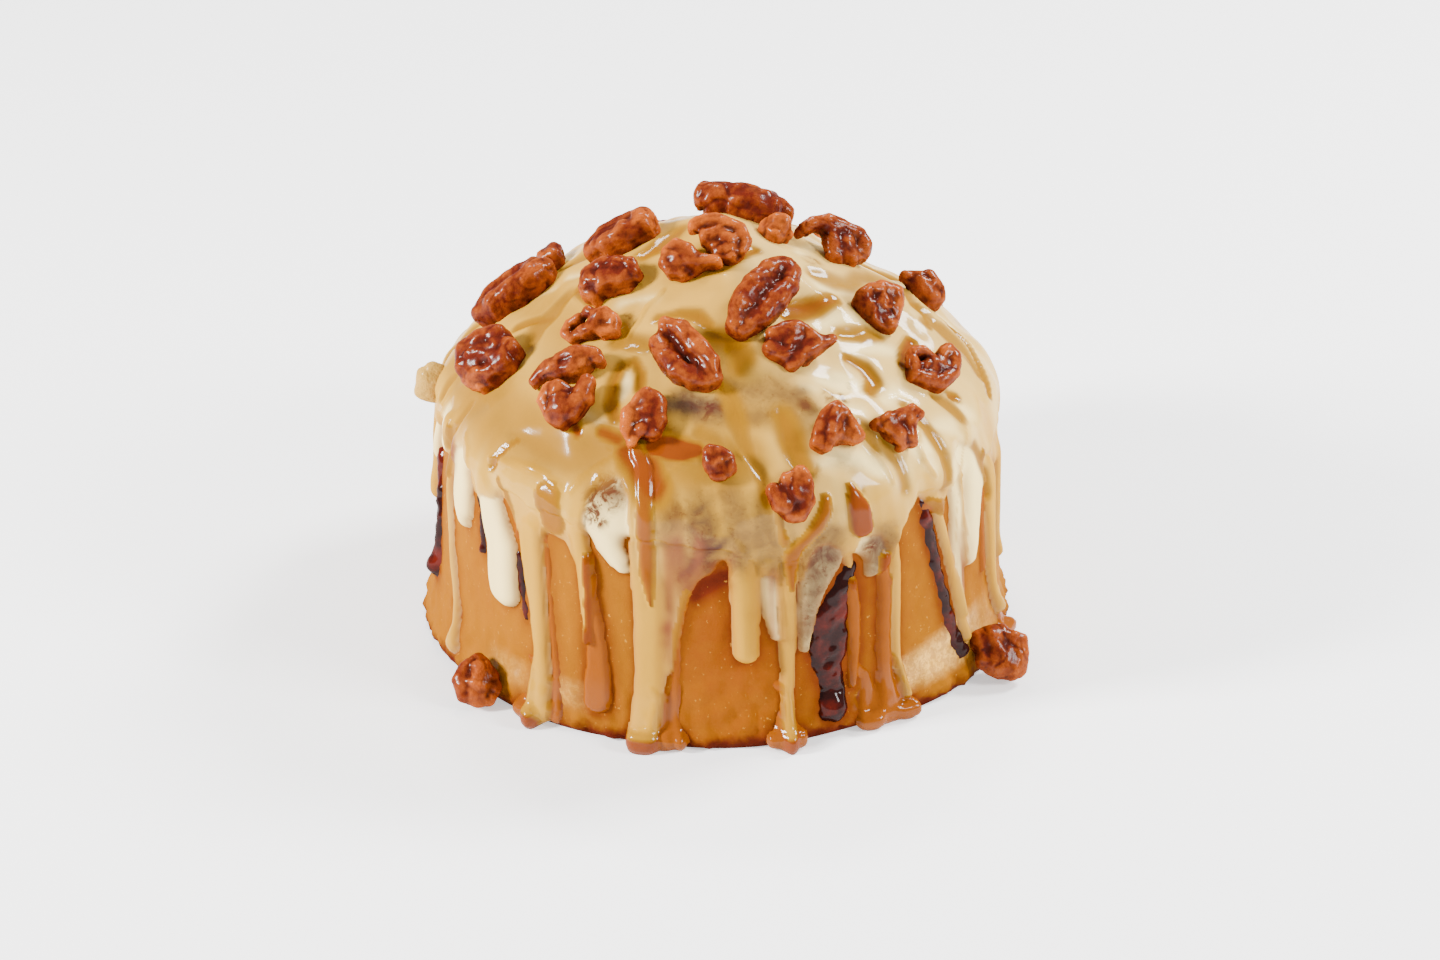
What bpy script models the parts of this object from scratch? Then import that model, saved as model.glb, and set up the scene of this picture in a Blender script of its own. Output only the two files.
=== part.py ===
"""A sticky bun: one tall sweet bun under poured icing, with caramel, dark syrup and candied pecans.

The bun stands on its flat foot, with the origin under its middle. A place on it is given by an
azimuth in degrees, 0 at the front (-Y) and growing towards +X, and a fall: the distance in
millimetres down from the crown, along the surface of the bread.
"""

import math
import random

import bmesh
import bpy
import numpy as np
from mathutils import Matrix, Vector

MM = 0.001
GAP = 0.3

# Bread: radius and height of the turned outline, from the crown down to the foot.
BREAD_OUTLINE = (
    (0.0, 85.5), (4.0, 84.9), (10.0, 82.6), (22.5, 76.7), (39.4, 66.1), (48.7, 58.9), (55.2, 51.6),
    (57.6, 42.5), (58.5, 30.0), (59.3, 14.0), (61.2, 4.5), (61.9, 2.0), (61.0, 0.0),
)
BREAD_STEPS = 48
BREAD_ROWS = 15
CROWN_LEAN = -1.0 / 86.0
LUMP_HEIGHT = 0.55

# Icing: a poured cap with a wavy hem, and the runs that hang from it.
ICING_DEPTH = 2.3
ICING_ROWS = 10
ICING_ROOT = 0.8
HEM_FRONT = (
    (-75, 75), (-56, 74), (-48, 76), (-38, 73), (-31, 75), (-24, 76), (-17, 81), (-6, 80),
    (1, 77.5), (8, 80), (20, 81), (32, 82), (44, 75), (52, 77), (66, 78), (75, 77),
)
HEM_BACK = 77.5
HEM_WAVE = 3.0

# Runs of icing: azimuth and fall where each one leaves the hem and where it ends, its width
# there and at its end, and how far it stands proud.
ICING_RUNS = (
    ((-86.5, 71), (-86, 82), 5.5, 4.0, 1.4),
    ((-70.5, 71), (-62.3, 111), 3.2, 2.6, 1.3),
    ((-60.5, 65), (-60.5, 84), 9.5, 7.0, 1.8),
    ((-49, 67), (-46, 95), 8.5, 8.0, 1.9),
    ((-40, 65), (-36, 117), 7.5, 5.0, 1.8),
    ((-29, 64), (-26, 99), 5.0, 2.6, 1.6),
    ((-19, 66), (-17, 81), 8.5, 6.0, 1.8),
    ((-13, 71), (-12.5, 117), 8.0, 7.0, 1.7),
    ((-7, 75), (-9.5, 101), 6.5, 3.0, 1.2),
    ((5.5, 73), (5.8, 99.3), 6.5, 4.8, 2.2),
    ((12, 75), (13, 100), 7.0, 4.5, 1.9),
    ((13, 95), (13, 117), 4.0, 3.4, 1.4),
    ((20.5, 73), (17, 99), 9.0, 3.2, 1.8),
    ((32, 71), (37.3, 110), 6.5, 2.8, 1.6),
    ((53, 73), (57.5, 107), 5.0, 3.6, 1.5),
    ((61, 69), (60.5, 93), 9.0, 5.5, 1.7),
    ((70, 71), (73, 110), 6.5, 3.6, 1.7),
)
BACK_RUN_AZIMUTHS = range(84, 275, 13)
BACK_RUN_SEED = 12

# Caramel that ran down beside the icing, and the toes that it made round the foot.
CARAMEL_RUNS = (
    ((-34.8, 76), (-32.8, 117), 2.2, 2.6, 0.9),
    ((-24, 73), (-24.5, 113.5), 3.4, 5.6, 1.3),
    ((34, 83), (34.5, 117), 3.6, 4.0, 1.1),
)
CARAMEL_TOES = ((-41, -34), (-17, -5.5), (9, 17), (27, 33), (34.5, 41), (70, 78), (112, 124),
                (167, 176), (201, 214), (250, 259))
TOE_RADIUS = 2.1
TOE_HEIGHT = 2.6
TOE_REACH = 62.6

# Dark syrup that boiled out of the bread and set on its side.
SYRUP_RUNS = (
    ((-82.5, 82), (-77.5, 105), 3.2, 4.8, 1.5),
    ((-53, 74), (-53, 87), 1.8, 1.6, 0.7),
    ((-41, 85), (-39.8, 97), 2.4, 1.6, 0.8),
    ((22, 82), (22.5, 115), 8.0, 6.0, 1.5),
    ((45, 76), (56, 111), 4.2, 4.0, 1.1),
    ((118, 84), (119, 108), 6.0, 4.0, 1.3),
    ((188, 80), (192, 112), 4.6, 5.0, 1.3),
    ((236, 86), (234, 114), 6.4, 4.6, 1.4),
)

# Pecans: each kernel is built of lobes, strings of balls (x, y, z, radius) that blend where they
# meet. Its x runs along it and its z points out of what it lies on.
KERNELS = {
    "front_half": (
        ((-8.9, 1.5, -0.2, 1.7), (-5.1, 3.0, 0.8, 2.0), (0.1, 3.2, 1.5, 2.1), (5.7, 2.4, 1.5, 2.0),
         (9.3, 0.6, 0.9, 1.7)),
        ((-8.8, -0.7, -0.7, 1.7), (-4.9, -2.5, 0.4, 1.9), (0.2, -2.9, 1.1, 2.1), (5.1, -3.0, 1.1, 1.9),
         (8.9, -1.8, 0.6, 1.6)),
        ((-3.9, 0.9, -1.1, 2.3), (5.1, 0.0, -0.6, 2.3)),
    ),
    "split_half": (
        ((-6.9, 0.9, 0.7, 1.6), (-3.6, 2.2, 1.4, 1.9), (1.5, 2.2, 1.4, 2.0), (5.7, 1.8, 0.8, 1.9),
         (8.1, 0.6, -0.1, 1.7)),
        ((-5.1, -3.1, 0.1, 1.8), (-1.2, -3.9, 0.7, 2.0), (2.5, -4.1, 0.6, 2.1), (5.5, -3.2, 0.2, 1.9),
         (7.5, -1.7, -0.3, 1.5)),
        ((-2.6, -0.5, -1.3, 2.0), (3.9, -0.1, -1.6, 2.1)),
    ),
    "crown_half": (
        ((9.0, 0.2, -0.2, 1.7), (6.0, 0.6, 0.4, 2.4), (1.5, 0.9, 0.7, 2.9), (-3.5, 0.8, 0.6, 2.8),
         (-8.6, 0.2, -0.3, 1.9)),
        ((8.6, -2.0, 0.6, 1.5), (7.2, -2.6, -0.6, 1.6)),
        ((4.2, -2.3, 1.1, 1.8), (3.6, -3.2, -0.4, 1.8)),
        ((-0.6, -2.2, 1.3, 1.9), (-1.2, -3.4, -0.2, 1.8)),
        ((-5.4, -2.0, 0.9, 1.8), (-6.2, -2.8, -0.5, 1.7)),
        ((2.0, 2.8, 0.3, 2.2), (-5.0, 2.6, 0.0, 2.0), (7.0, 2.2, -0.2, 1.5)),
    ),
    "left_high": (
        ((-8.2, 0.6, -0.3, 1.3), (-4.5, 2.4, 0.7, 2.1), (1.0, 2.7, 1.1, 2.3), (6.0, 2.0, 0.8, 2.1),
         (8.4, 0.9, 0.2, 1.2)),
        ((-8.2, -0.6, -0.3, 1.3), (-4.5, -2.5, 0.5, 2.1), (1.0, -2.9, 0.9, 2.3), (5.2, -2.4, 0.7, 2.2),
         (7.6, -1.6, 0.2, 1.5)),
        ((7.2, 0.2, 0.6, 1.4), (8.6, -0.2, -0.6, 1.2)),
        ((-5.0, 0.0, -1.2, 2.2), (5.0, 0.0, -1.2, 2.4)),
    ),
    "left_top": (
        ((-6.8, 0.8, -0.2, 1.4), (-3.5, 2.2, 0.6, 2.0), (1.5, 2.5, 0.9, 2.1), (5.0, 1.8, 1.0, 2.0)),
        ((-6.4, -1.0, -0.4, 1.5), (-3.0, -2.4, 0.4, 1.9), (0.4, -2.7, 0.7, 1.8)),
        ((1.6, -2.2, 0.9, 1.9), (3.2, -2.4, 0.6, 1.7)),
        ((5.4, -1.2, 1.0, 2.0), (6.0, 0.2, 0.6, 2.1)),
        ((-3.0, 0.0, -1.0, 2.2), (4.0, 0.0, -1.0, 2.4)),
    ),
    "left_mid": (
        ((-3.8, 2.2, 1.3, 1.7), (0.5, 2.7, 1.9, 1.8), (4.7, 2.2, 1.1, 1.6), (5.7, 0.9, 0.2, 1.3)),
        ((-4.1, -0.3, 0.6, 1.9), (-0.7, -0.8, 0.6, 2.3), (2.9, -0.4, 0.1, 2.1)),
        ((-4.5, -2.1, -0.4, 1.3), (-3.1, -3.1, -1.1, 1.2)),
    ),
    "right_hook": (
        ((7.4, -0.6, -0.4, 1.3), (5.8, -1.3, 1.1, 1.5), (2.3, -1.9, 2.8, 1.6), (-1.5, -2.2, 2.8, 1.6),
         (-5.1, -1.8, 2.8, 1.6), (-6.8, -0.3, 1.7, 1.4)),
        ((1.0, 0.6, -0.2, 1.4), (-0.3, 2.3, -2.1, 1.6), (-3.9, 2.0, -1.3, 1.7), (-6.2, 0.7, 0.3, 1.4)),
        ((-2.2, 0.3, 0.4, 1.7),),
    ),
    "centre_pair": (
        ((-5.0, 2.8, 0.9, 1.7), (-1.8, 3.6, 1.5, 1.8), (1.2, 3.0, 1.5, 1.6), (2.5, 1.4, 0.9, 1.4)),
        ((-6.3, 0.0, 0.0, 1.4), (-3.8, -1.6, -0.4, 1.4)),
        ((-1.9, -3.4, -0.7, 1.2), (0.1, -2.1, 0.3, 1.3), (3.4, -0.2, 1.0, 1.3), (6.6, 1.5, 1.0, 1.1)),
        ((-2.0, 0.9, 0.2, 2.0), (1.5, -0.1, 0.1, 1.4)),
    ),
    "crown_chip": (
        ((0.0, 0.0, 1.6, 1.0), (-1.8, -1.6, -1.2, 1.2)),
        ((0.0, 0.0, 1.6, 1.0), (2.4, 0.4, -1.0, 1.2)),
        ((0.0, 0.0, 1.2, 1.1), (-0.4, 1.8, -1.0, 1.2)),
        ((0.0, 0.0, -0.8, 2.0),),
    ),
    "crown_curl": (
        ((-5.3, 2.8, 0.9, 1.1), (-2.6, 2.9, 1.7, 1.3), (0.6, 1.6, 1.6, 1.4), (3.3, -0.8, 0.9, 1.4),
         (3.8, -3.5, -0.2, 1.3), (2.3, -5.1, -1.0, 1.0)),
        ((-3.7, -0.3, 0.3, 1.2), (-1.0, -0.7, 0.8, 1.3), (0.6, -3.0, 0.2, 1.4), (-0.1, -5.8, -1.2, 1.3)),
        ((-2.4, -2.7, -1.0, 1.5), (-2.5, -4.4, -1.8, 1.2)),
    ),
    "crown_crumb": (
        ((-2.8, 1.4, 1.4, 1.1), (-1.6, 3.1, 2.0, 1.2), (1.2, 3.2, 1.5, 1.2), (2.8, 1.8, 0.6, 1.1)),
        ((-2.4, -0.9, 0.2, 1.2), (-0.6, -1.8, -0.5, 1.2), (1.6, -1.5, -1.1, 1.0)),
        ((-0.1, 0.7, 0.5, 1.8), (3.1, 1.0, -0.2, 1.5)),
        ((4.9, 2.6, 0.1, 1.2), (7.1, 3.5, -0.4, 1.1)),
    ),
    "left_small": (
        ((-2.6, -1.0, 0.2, 1.2), (-0.4, -1.6, 0.5, 1.4), (1.6, -1.0, 0.3, 1.3)),
        ((-3.0, 1.4, 0.1, 1.1), (0.0, 1.5, 0.8, 1.4), (3.0, 0.8, 0.2, 1.3)),
        ((0.0, 0.0, -0.6, 2.0),),
    ),
    "right_mid": (
        ((3.2, -2.6, 0.9, 1.3), (-0.3, -3.7, 2.4, 1.4), (-4.0, -3.1, 2.6, 1.3)),
        ((3.8, -1.0, -0.1, 1.4), (1.9, 2.1, -0.8, 1.4), (-1.5, 3.6, -1.1, 1.3)),
        ((-4.1, -1.7, 1.9, 1.2), (-3.6, 0.8, 0.6, 1.3), (-2.9, 3.0, -0.7, 1.1)),
        ((-0.3, -0.4, 0.6, 1.9),),
    ),
    "right_far": (
        ((4.8, -0.9, 0.2, 0.9), (2.3, -0.9, 0.8, 1.2)),
        ((-0.3, -2.0, 2.7, 1.0), (-1.2, -0.8, 1.7, 1.4)),
        ((0.7, 0.2, -0.1, 1.9), (-1.9, 1.1, -0.8, 2.0)),
        ((-3.3, -0.3, 1.5, 1.0), (-4.3, 1.1, -0.1, 1.0)),
    ),
    "left_flat": (
        ((-2.8, 1.2, 0.8, 0.9), (-4.7, 0.2, 0.7, 1.0), (-5.2, -1.9, 0.0, 1.0), (-3.4, -2.7, -0.5, 1.1),
         (-1.3, -1.3, -0.1, 1.2)),
        ((-0.4, 2.5, 1.4, 1.0), (1.5, 1.5, 0.9, 1.3), (0.5, -1.0, 0.0, 1.4)),
        ((3.2, 2.2, 0.7, 1.0), (5.3, 0.8, 0.1, 1.1), (5.3, -1.1, -0.6, 1.1), (3.1, -1.8, -0.6, 1.0)),
        ((3.0, 0.9, -0.5, 1.2),),
    ),
    "left_low": (
        ((-4.1, 2.5, 2.2, 2.1), (0.3, 3.2, 2.5, 2.2), (4.2, 3.3, 1.7, 2.0)),
        ((0.8, -3.8, -1.2, 2.0), (4.5, -2.9, -0.8, 2.2), (6.3, -0.4, -0.3, 2.0)),
        ((-4.7, -0.5, 0.6, 2.1), (-1.7, -2.8, -0.7, 2.0)),
        ((-4.8, -3.2, -1.0, 1.1), (-2.3, -4.9, -2.3, 1.2)),
    ),
    "right_horse": (
        ((-3.9, 3.1, 0.5, 1.0), (-1.5, 3.0, 1.2, 1.0), (-0.1, 1.7, 1.0, 0.9), (-0.9, 0.4, 0.0, 0.9)),
        ((-4.8, 1.1, -0.3, 1.0), (-5.3, -1.5, -1.3, 1.2), (-2.7, -3.1, -1.0, 1.5), (1.1, -3.9, -0.4, 1.6),
         (4.5, -2.2, 0.9, 1.5), (5.8, 0.7, 2.1, 1.4), (4.8, 2.5, 2.3, 1.1)),
        ((3.4, 2.2, 1.7, 0.9), (2.2, -0.3, 0.5, 1.1)),
        ((-0.3, -0.9, -1.2, 1.2), (2.9, -0.2, -0.5, 1.2)),
    ),
    "pair_upper": (
        ((-7.1, -3.0, -0.2, 1.1), (-5.5, -1.8, 0.2, 1.2), (-4.0, -0.3, 0.7, 1.2)),
        ((-2.9, -1.5, 0.0, 1.7), (0.9, -1.6, 0.0, 1.9)),
        ((-1.1, 0.8, 1.3, 1.2), (2.5, 1.5, 1.5, 1.3), (6.2, 1.4, 0.7, 1.1), (6.9, -0.1, -0.3, 1.1)),
        ((3.5, -0.2, -0.1, 1.7),),
    ),
    "pair_lower": (
        ((-3.0, 4.5, 1.6, 1.2), (-4.3, 2.3, 1.2, 1.3), (-3.4, -1.0, 0.1, 1.3)),
        ((-0.4, 3.2, 1.5, 2.1), (-1.3, -0.5, 0.3, 2.1), (-1.7, -2.4, -0.6, 1.3)),
        ((5.1, 3.9, 1.1, 1.6), (3.9, 1.2, 0.6, 1.9), (0.8, -1.2, 0.0, 1.7)),
    ),
    "front_low": (
        ((3.0, 1.1, 1.2, 1.1), (0.1, 2.6, 0.9, 1.3), (-2.6, 2.4, 0.3, 1.3), (-5.2, 0.7, -0.5, 1.1)),
        ((4.7, 0.0, 1.2, 1.4), (3.7, -2.4, 0.8, 1.5), (0.6, -3.5, 0.2, 1.5), (-1.9, -3.2, -0.4, 1.4)),
        ((1.6, -0.9, 0.5, 1.8), (-1.9, -1.1, -0.2, 1.7)),
    ),
    "front_right": (
        ((3.4, 2.0, 1.1, 1.2), (0.8, 2.9, 0.6, 1.3), (-1.8, 2.5, -0.1, 1.3), (-4.6, 1.9, -0.7, 1.3),
         (-4.7, -0.1, -1.0, 1.1)),
        ((1.0, 1.4, 1.0, 1.8), (-1.9, 0.1, 0.2, 1.9)),
        ((3.0, -0.2, 1.0, 1.2), (1.8, -2.8, 0.6, 1.2), (1.1, -4.8, 0.2, 1.0)),
        ((-0.2, -3.9, -0.2, 1.2), (-0.3, -2.5, -0.2, 1.2)),
    ),
    "right_low": (
        ((-3.6, 3.3, -0.1, 0.9), (-1.2, 2.8, 0.6, 0.9)),
        ((-2.4, 1.5, 0.0, 1.3), (-1.6, -1.1, -0.2, 1.6), (-1.9, -3.0, -0.8, 1.0)),
        ((0.8, 1.9, 1.0, 1.1), (3.8, 1.3, 1.5, 1.2), (5.1, -0.4, 1.3, 1.0)),
        ((2.0, -0.5, 0.7, 1.5), (0.6, -2.5, 0.1, 1.3), (0.6, -4.2, -0.3, 0.9)),
    ),
    "front_bead": (
        ((-2.1, 2.6, 0.7, 1.0), (-2.2, 0.1, 0.2, 1.1), (-1.1, -2.0, -0.4, 1.1)),
        ((0.1, 2.0, 0.7, 1.1), (1.9, 0.6, 0.4, 1.1), (2.2, -1.1, -0.1, 1.0)),
        ((-0.3, 0.0, 0.4, 1.6), (0.4, -1.8, -0.4, 1.2)),
    ),
    "front_drop": (
        ((4.7, 0.2, 0.8, 1.3), (2.3, 1.7, 0.8, 1.4)),
        ((2.9, -1.7, 1.0, 1.5), (0.4, -3.6, 0.5, 1.6), (-2.5, -3.6, -0.2, 1.5)),
        ((-1.1, 3.1, 0.4, 1.6), (-2.6, 0.7, 0.3, 1.9), (-3.2, -2.3, -0.3, 1.6)),
        ((0.1, -0.8, 0.3, 1.8),),
    ),
    "left_edge": (
        ((-2.6, 0.2, 0.0, 2.3), (1.0, -0.2, 0.4, 2.5), (2.8, 0.2, 0.0, 1.9)),
    ),
    "foot_left": (
        ((-1.1, 2.5, 3.8, 1.3), (-2.6, 0.2, 2.4, 1.5), (-2.6, -1.9, 0.4, 1.7), (-1.2, -2.8, -2.0, 1.5)),
        ((0.9, 1.0, 2.8, 1.8), (1.5, -1.1, 0.7, 2.0), (1.4, -2.2, -2.1, 1.7)),
        ((2.5, 1.8, 1.1, 1.5), (3.8, 0.7, -1.0, 1.5), (3.4, -0.7, -2.7, 1.4)),
        ((0.1, 0.7, -0.6, 2.9),),
    ),
    "foot_right": (
        ((2.8, -0.1, 3.6, 1.3), (0.4, -0.3, 1.6, 1.6), (-1.3, -0.2, -0.7, 1.6)),
        ((1.6, -2.3, 2.8, 1.3), (-0.5, -2.3, 0.6, 1.5), (-1.8, -2.0, -1.9, 1.6)),
        ((1.3, -4.5, 2.1, 1.1), (-0.4, -4.6, 0.0, 1.3), (-1.8, -3.6, -2.5, 1.5)),
        ((1.1, 4.2, 2.4, 2.4), (1.3, 2.5, 2.7, 2.8)),
        ((-1.7, 3.2, -0.6, 2.4), (-2.4, 1.2, -1.9, 2.2)),
        ((-2.7, -1.5, -3.3, 1.4),),
        ((0.9, 0.0, -0.5, 3.6),),
    ),
}
KERNEL_BLEND = 0.6
KERNEL_SAG = 0.45
HALVES = (
    "front_half", "split_half", "crown_half", "left_high", "left_top", "left_mid", "right_hook",
    "centre_pair",
)
HALF_MESH = (10, 8)
PIECE_MESH = (8, 7)

# Where the pecans lie on the icing: kernel, azimuth, fall, height, and the turn of the long axis
# from level. The last ten are on the back.
PECAN_SINK = 1.0
PECANS = (
    ("front_half", 23.4, 24.5, 7.6, 39),
    ("split_half", -8.9, 35.8, 7.6, -43),
    ("crown_half", 146.0, 10.5, 8.0, 34),
    ("left_high", -96.7, 44.2, 8.0, 106),
    ("left_top", -95.0, 17.9, 7.8, 98),
    ("left_mid", -57.9, 24.4, 7.2, 46),
    ("right_hook", 100.9, 24.7, 7.6, 92),
    ("centre_pair", 28.9, 36.7, 7.0, -14),
    ("crown_chip", 96.0, 12.4, 6.4, 60),
    ("crown_curl", 14.0, 6.6, 7.0, 8),
    ("crown_crumb", -26.0, 15.2, 6.6, -4),
    ("left_small", -114.0, 38.6, 6.0, 42),
    ("right_mid", 71.4, 36.8, 7.0, 130),
    ("right_far", 100.2, 46.4, 6.6, 92),
    ("left_flat", -47.1, 34.3, 6.2, 28),
    ("left_low", -70.7, 52.4, 8.6, 60),
    ("right_horse", 66.2, 51.9, 7.0, -30),
    ("pair_upper", -42.6, 44.2, 7.4, 30),
    ("pair_lower", -35.6, 52.4, 7.4, 34),
    ("front_low", -17.1, 50.8, 6.6, 86),
    ("front_right", 28.1, 54.6, 7.2, 42),
    ("right_low", 43.3, 58.3, 6.4, 10),
    ("front_bead", 1.2, 58.6, 4.6, 0),
    ("front_drop", 14.6, 64.7, 6.6, 56),
    ("left_edge", -92.5, 68.4, 5.6, 86),
    ("right_mid", 172.0, 26.0, 7.0, 20),
    ("left_top", 158.7, 59.9, 7.8, 150),
    ("centre_pair", 196.4, 55.3, 7.0, 45),
    ("right_horse", 127.2, 72.8, 7.0, 15),
    ("front_right", 149.5, 71.6, 7.2, 70),
    ("right_low", 170.9, 70.9, 6.4, 30),
    ("pair_lower", 183.8, 64.5, 7.4, 110),
    ("left_mid", 202.1, 68.6, 7.2, 10),
    ("front_low", 215.9, 69.0, 6.6, 80),
    ("left_low", 232.1, 72.5, 8.6, 140),
)

# Pecans that slid down to the foot: kernel, azimuth, distance from the middle, height and turn.
FOOT_PECANS = (
    ("foot_left", -48.4, 65.6, 4.9, 20),
    ("foot_right", 60.0, 67.4, 5.9, 35),
)

COLOURS = {
    "bread": (0.62, 0.29, 0.075, 1.0),
    "icing": (0.76, 0.62, 0.33, 1.0),
    "pecan": (0.24, 0.06, 0.02, 1.0),
}


def outline_curve(points, steps=30):
    """A smooth curve through the outline's points, as columns of radius, height and fall."""
    ends = [(-points[1][0], points[1][1])] + list(points) + [points[-1]]
    curve = []
    for before, start, end, after in zip(ends, ends[1:], ends[2:], ends[3:]):
        for step in range(steps):
            t = step / steps
            curve.append([
                0.5 * (2 * b + (c - a) * t + (2 * a - 5 * b + 4 * c - d) * t ** 2
                       + (3 * b - a - 3 * c + d) * t ** 3)
                for a, b, c, d in zip(before, start, end, after)
            ])
    curve = np.array(curve + [points[-1]], dtype=float)
    paces = np.hypot(*np.diff(curve, axis=0).T)
    return curve[:, 0], curve[:, 1], np.concatenate([[0.0], np.cumsum(paces)])


RADII, HEIGHTS, FALLS = outline_curve(BREAD_OUTLINE)
WHOLE_FALL = FALLS[-1]


def outline_at(fall):
    """Radius, height and outward direction of the bread's outline at a fall."""
    radius = np.interp(fall, FALLS, RADII)
    height = np.interp(fall, FALLS, HEIGHTS)
    run = np.interp(fall + 1, FALLS, RADII) - np.interp(fall - 1, FALLS, RADII)
    drop = np.interp(fall + 1, FALLS, HEIGHTS) - np.interp(fall - 1, FALLS, HEIGHTS)
    length = math.hypot(run, drop)
    return radius, height, -drop / length, run / length


def lump(azimuth, fall):
    """How far the baked bread swells out or sinks in."""
    turn = math.radians(azimuth)
    swell = (math.sin(3 * turn + 0.6 + fall / 31) + 0.8 * math.sin(5 * turn + 2.1 - fall / 19)
             + 0.6 * math.sin(8 * turn + 4.0 + fall / 13))
    return LUMP_HEIGHT * swell * min(1.0, fall / 25)


def skin(azimuth, fall, lift=0.0):
    """A point in metres on the bread, or lifted off it."""
    radius, height, outward, upward = outline_at(fall)
    off = lift + lump(azimuth, fall)
    reach = radius + outward * off
    level = max(0.0, height + upward * off)
    turn = math.radians(azimuth)
    return Vector((reach * math.sin(turn) + CROWN_LEAN * level, -reach * math.cos(turn), level)) * MM


def skin_frame(azimuth, fall):
    """Unit directions across, up the slope, and out of the bread."""
    _, _, outward, upward = outline_at(fall)
    turn = math.radians(azimuth)
    across = Vector((math.cos(turn), math.sin(turn), 0))
    away = Vector((math.sin(turn), -math.cos(turn), 0))
    return across, away * -upward + Vector((0, 0, outward)), away * outward + Vector((0, 0, upward))


def hem(azimuth):
    """Fall at which the poured cap ends."""
    azimuth = (azimuth + 180) % 360 - 180
    places, falls = zip(*HEM_FRONT)
    if places[0] <= azimuth <= places[-1]:
        return float(np.interp(azimuth, places, falls))
    return HEM_BACK + HEM_WAVE * math.sin(math.radians(azimuth * 7)) * math.sin(math.radians(azimuth * 2 + 30))


def bound_material(name, roughness):
    material = bpy.data.materials.new(name)
    material.use_nodes = True
    shader = material.node_tree.nodes["Principled BSDF"]
    shader.inputs["Base Color"].default_value = COLOURS[name]
    shader.inputs["Roughness"].default_value = roughness
    shader.inputs["Metallic"].default_value = 0.0
    return material


def new_collection(name):
    collection = bpy.data.collections.new(name)
    bpy.context.scene.collection.children.link(collection)
    return collection


def add_object(name, mesh, collection):
    thing = bpy.data.objects.new(name, mesh)
    collection.objects.link(thing)
    return thing


def solid_copy(thing, name, collection):
    """The evaluated object as a mesh of its own, in the same place; the first object goes."""
    bpy.context.view_layer.update()
    graph = bpy.context.evaluated_depsgraph_get()
    mesh = bpy.data.meshes.new_from_object(thing.evaluated_get(graph))
    mesh.transform(thing.matrix_world)
    bpy.data.objects.remove(thing)
    return add_object(name, mesh, collection)


def weld_into_triangles(thing):
    shape = bmesh.new()
    shape.from_mesh(thing.data)
    bmesh.ops.remove_doubles(shape, verts=shape.verts, dist=0.00001)
    bmesh.ops.recalc_face_normals(shape, faces=shape.faces)
    bmesh.ops.triangulate(shape, faces=shape.faces)
    shape.to_mesh(thing.data)
    shape.free()


def keep_largest_body(thing):
    """Drops the loose scraps that a cut leaves, and splits the faces into triangles."""
    shape = bmesh.new()
    shape.from_mesh(thing.data)
    bodies = []
    unseen = set(shape.verts)
    while unseen:
        front = [unseen.pop()]
        body = set(front)
        while front:
            for edge in front.pop().link_edges:
                for vert in edge.verts:
                    if vert in unseen:
                        unseen.discard(vert)
                        body.add(vert)
                        front.append(vert)
        bodies.append(body)
    largest = max(bodies, key=len)
    bmesh.ops.delete(shape, geom=[vert for vert in shape.verts if vert not in largest], context="VERTS")
    bmesh.ops.triangulate(shape, faces=shape.faces)
    shape.to_mesh(thing.data)
    shape.free()


def boolean(thing, operation, tools, solver="EXACT"):
    """One Boolean of a whole collection on an object, applied, after which the tools go."""
    cut = thing.modifiers.new(operation.title(), "BOOLEAN")
    cut.operation = operation
    cut.operand_type = "COLLECTION"
    cut.collection = tools
    cut.solver = solver
    name = thing.name
    home = thing.users_collection[0]
    thing.name = name + "_uncut"
    result = solid_copy(thing, name, home)
    for tool in list(tools.objects):
        bpy.data.objects.remove(tool)
    bpy.data.collections.remove(tools)
    return result


def turned_disc(name, rows, closing_rows, collection):
    """A flat disc one unit in radius and one thick, turned from its edge, to be wrapped on the bun.

    Its upper face has one ring of points for each row, and its lower face closing_rows rings.
    """
    profile = bmesh.new()
    points = [(row / rows, 1.0) for row in range(rows + 1)]
    points += [(1 - row / closing_rows, 0.0) for row in range(1 if closing_rows == 1 else 0, closing_rows + 1)]
    verts = [profile.verts.new((radius, 0, height)) for radius, height in points]
    for start, end in zip(verts, verts[1:]):
        profile.edges.new((start, end))
    mesh = bpy.data.meshes.new(name + "_profile")
    profile.to_mesh(mesh)
    profile.free()
    blank = add_object(name + "_profile", mesh, collection)
    screw = blank.modifiers.new("Turn", "SCREW")
    screw.steps = BREAD_STEPS
    screw.render_steps = BREAD_STEPS
    screw.use_merge_vertices = True
    screw.merge_threshold = 0.0001
    return solid_copy(blank, name, collection)


def wrap(disc, place):
    """Moves each point of a turned disc to the place that its azimuth, radius and face give."""
    for vert in disc.data.vertices:
        azimuth = math.degrees(math.atan2(vert.co.x, -vert.co.y))
        vert.co = place(azimuth, math.hypot(vert.co.x, vert.co.y), vert.co.z > 0.5)
    weld_into_triangles(disc)


def bread_body(name, lift, collection):
    """The bread, or with a lift the same body grown all round."""
    def place(azimuth, fraction, upper):
        if upper:
            return skin(azimuth, fraction * WHOLE_FALL, lift)
        return Vector((0, 0, -lift * MM))

    disc = turned_disc(name, BREAD_ROWS, 1, collection)
    wrap(disc, place)
    if lift:
        for vert in disc.data.vertices:
            if vert.co.z <= 0.5 * MM:
                vert.co.z -= lift * MM
    return disc


def bead_size(width, proud):
    """Radius of a round bead that shows this wide and stands this proud, and how deep it sinks."""
    radius = (width ** 2 / 4 + proud ** 2) / (2 * proud)
    return radius, radius - proud


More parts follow.
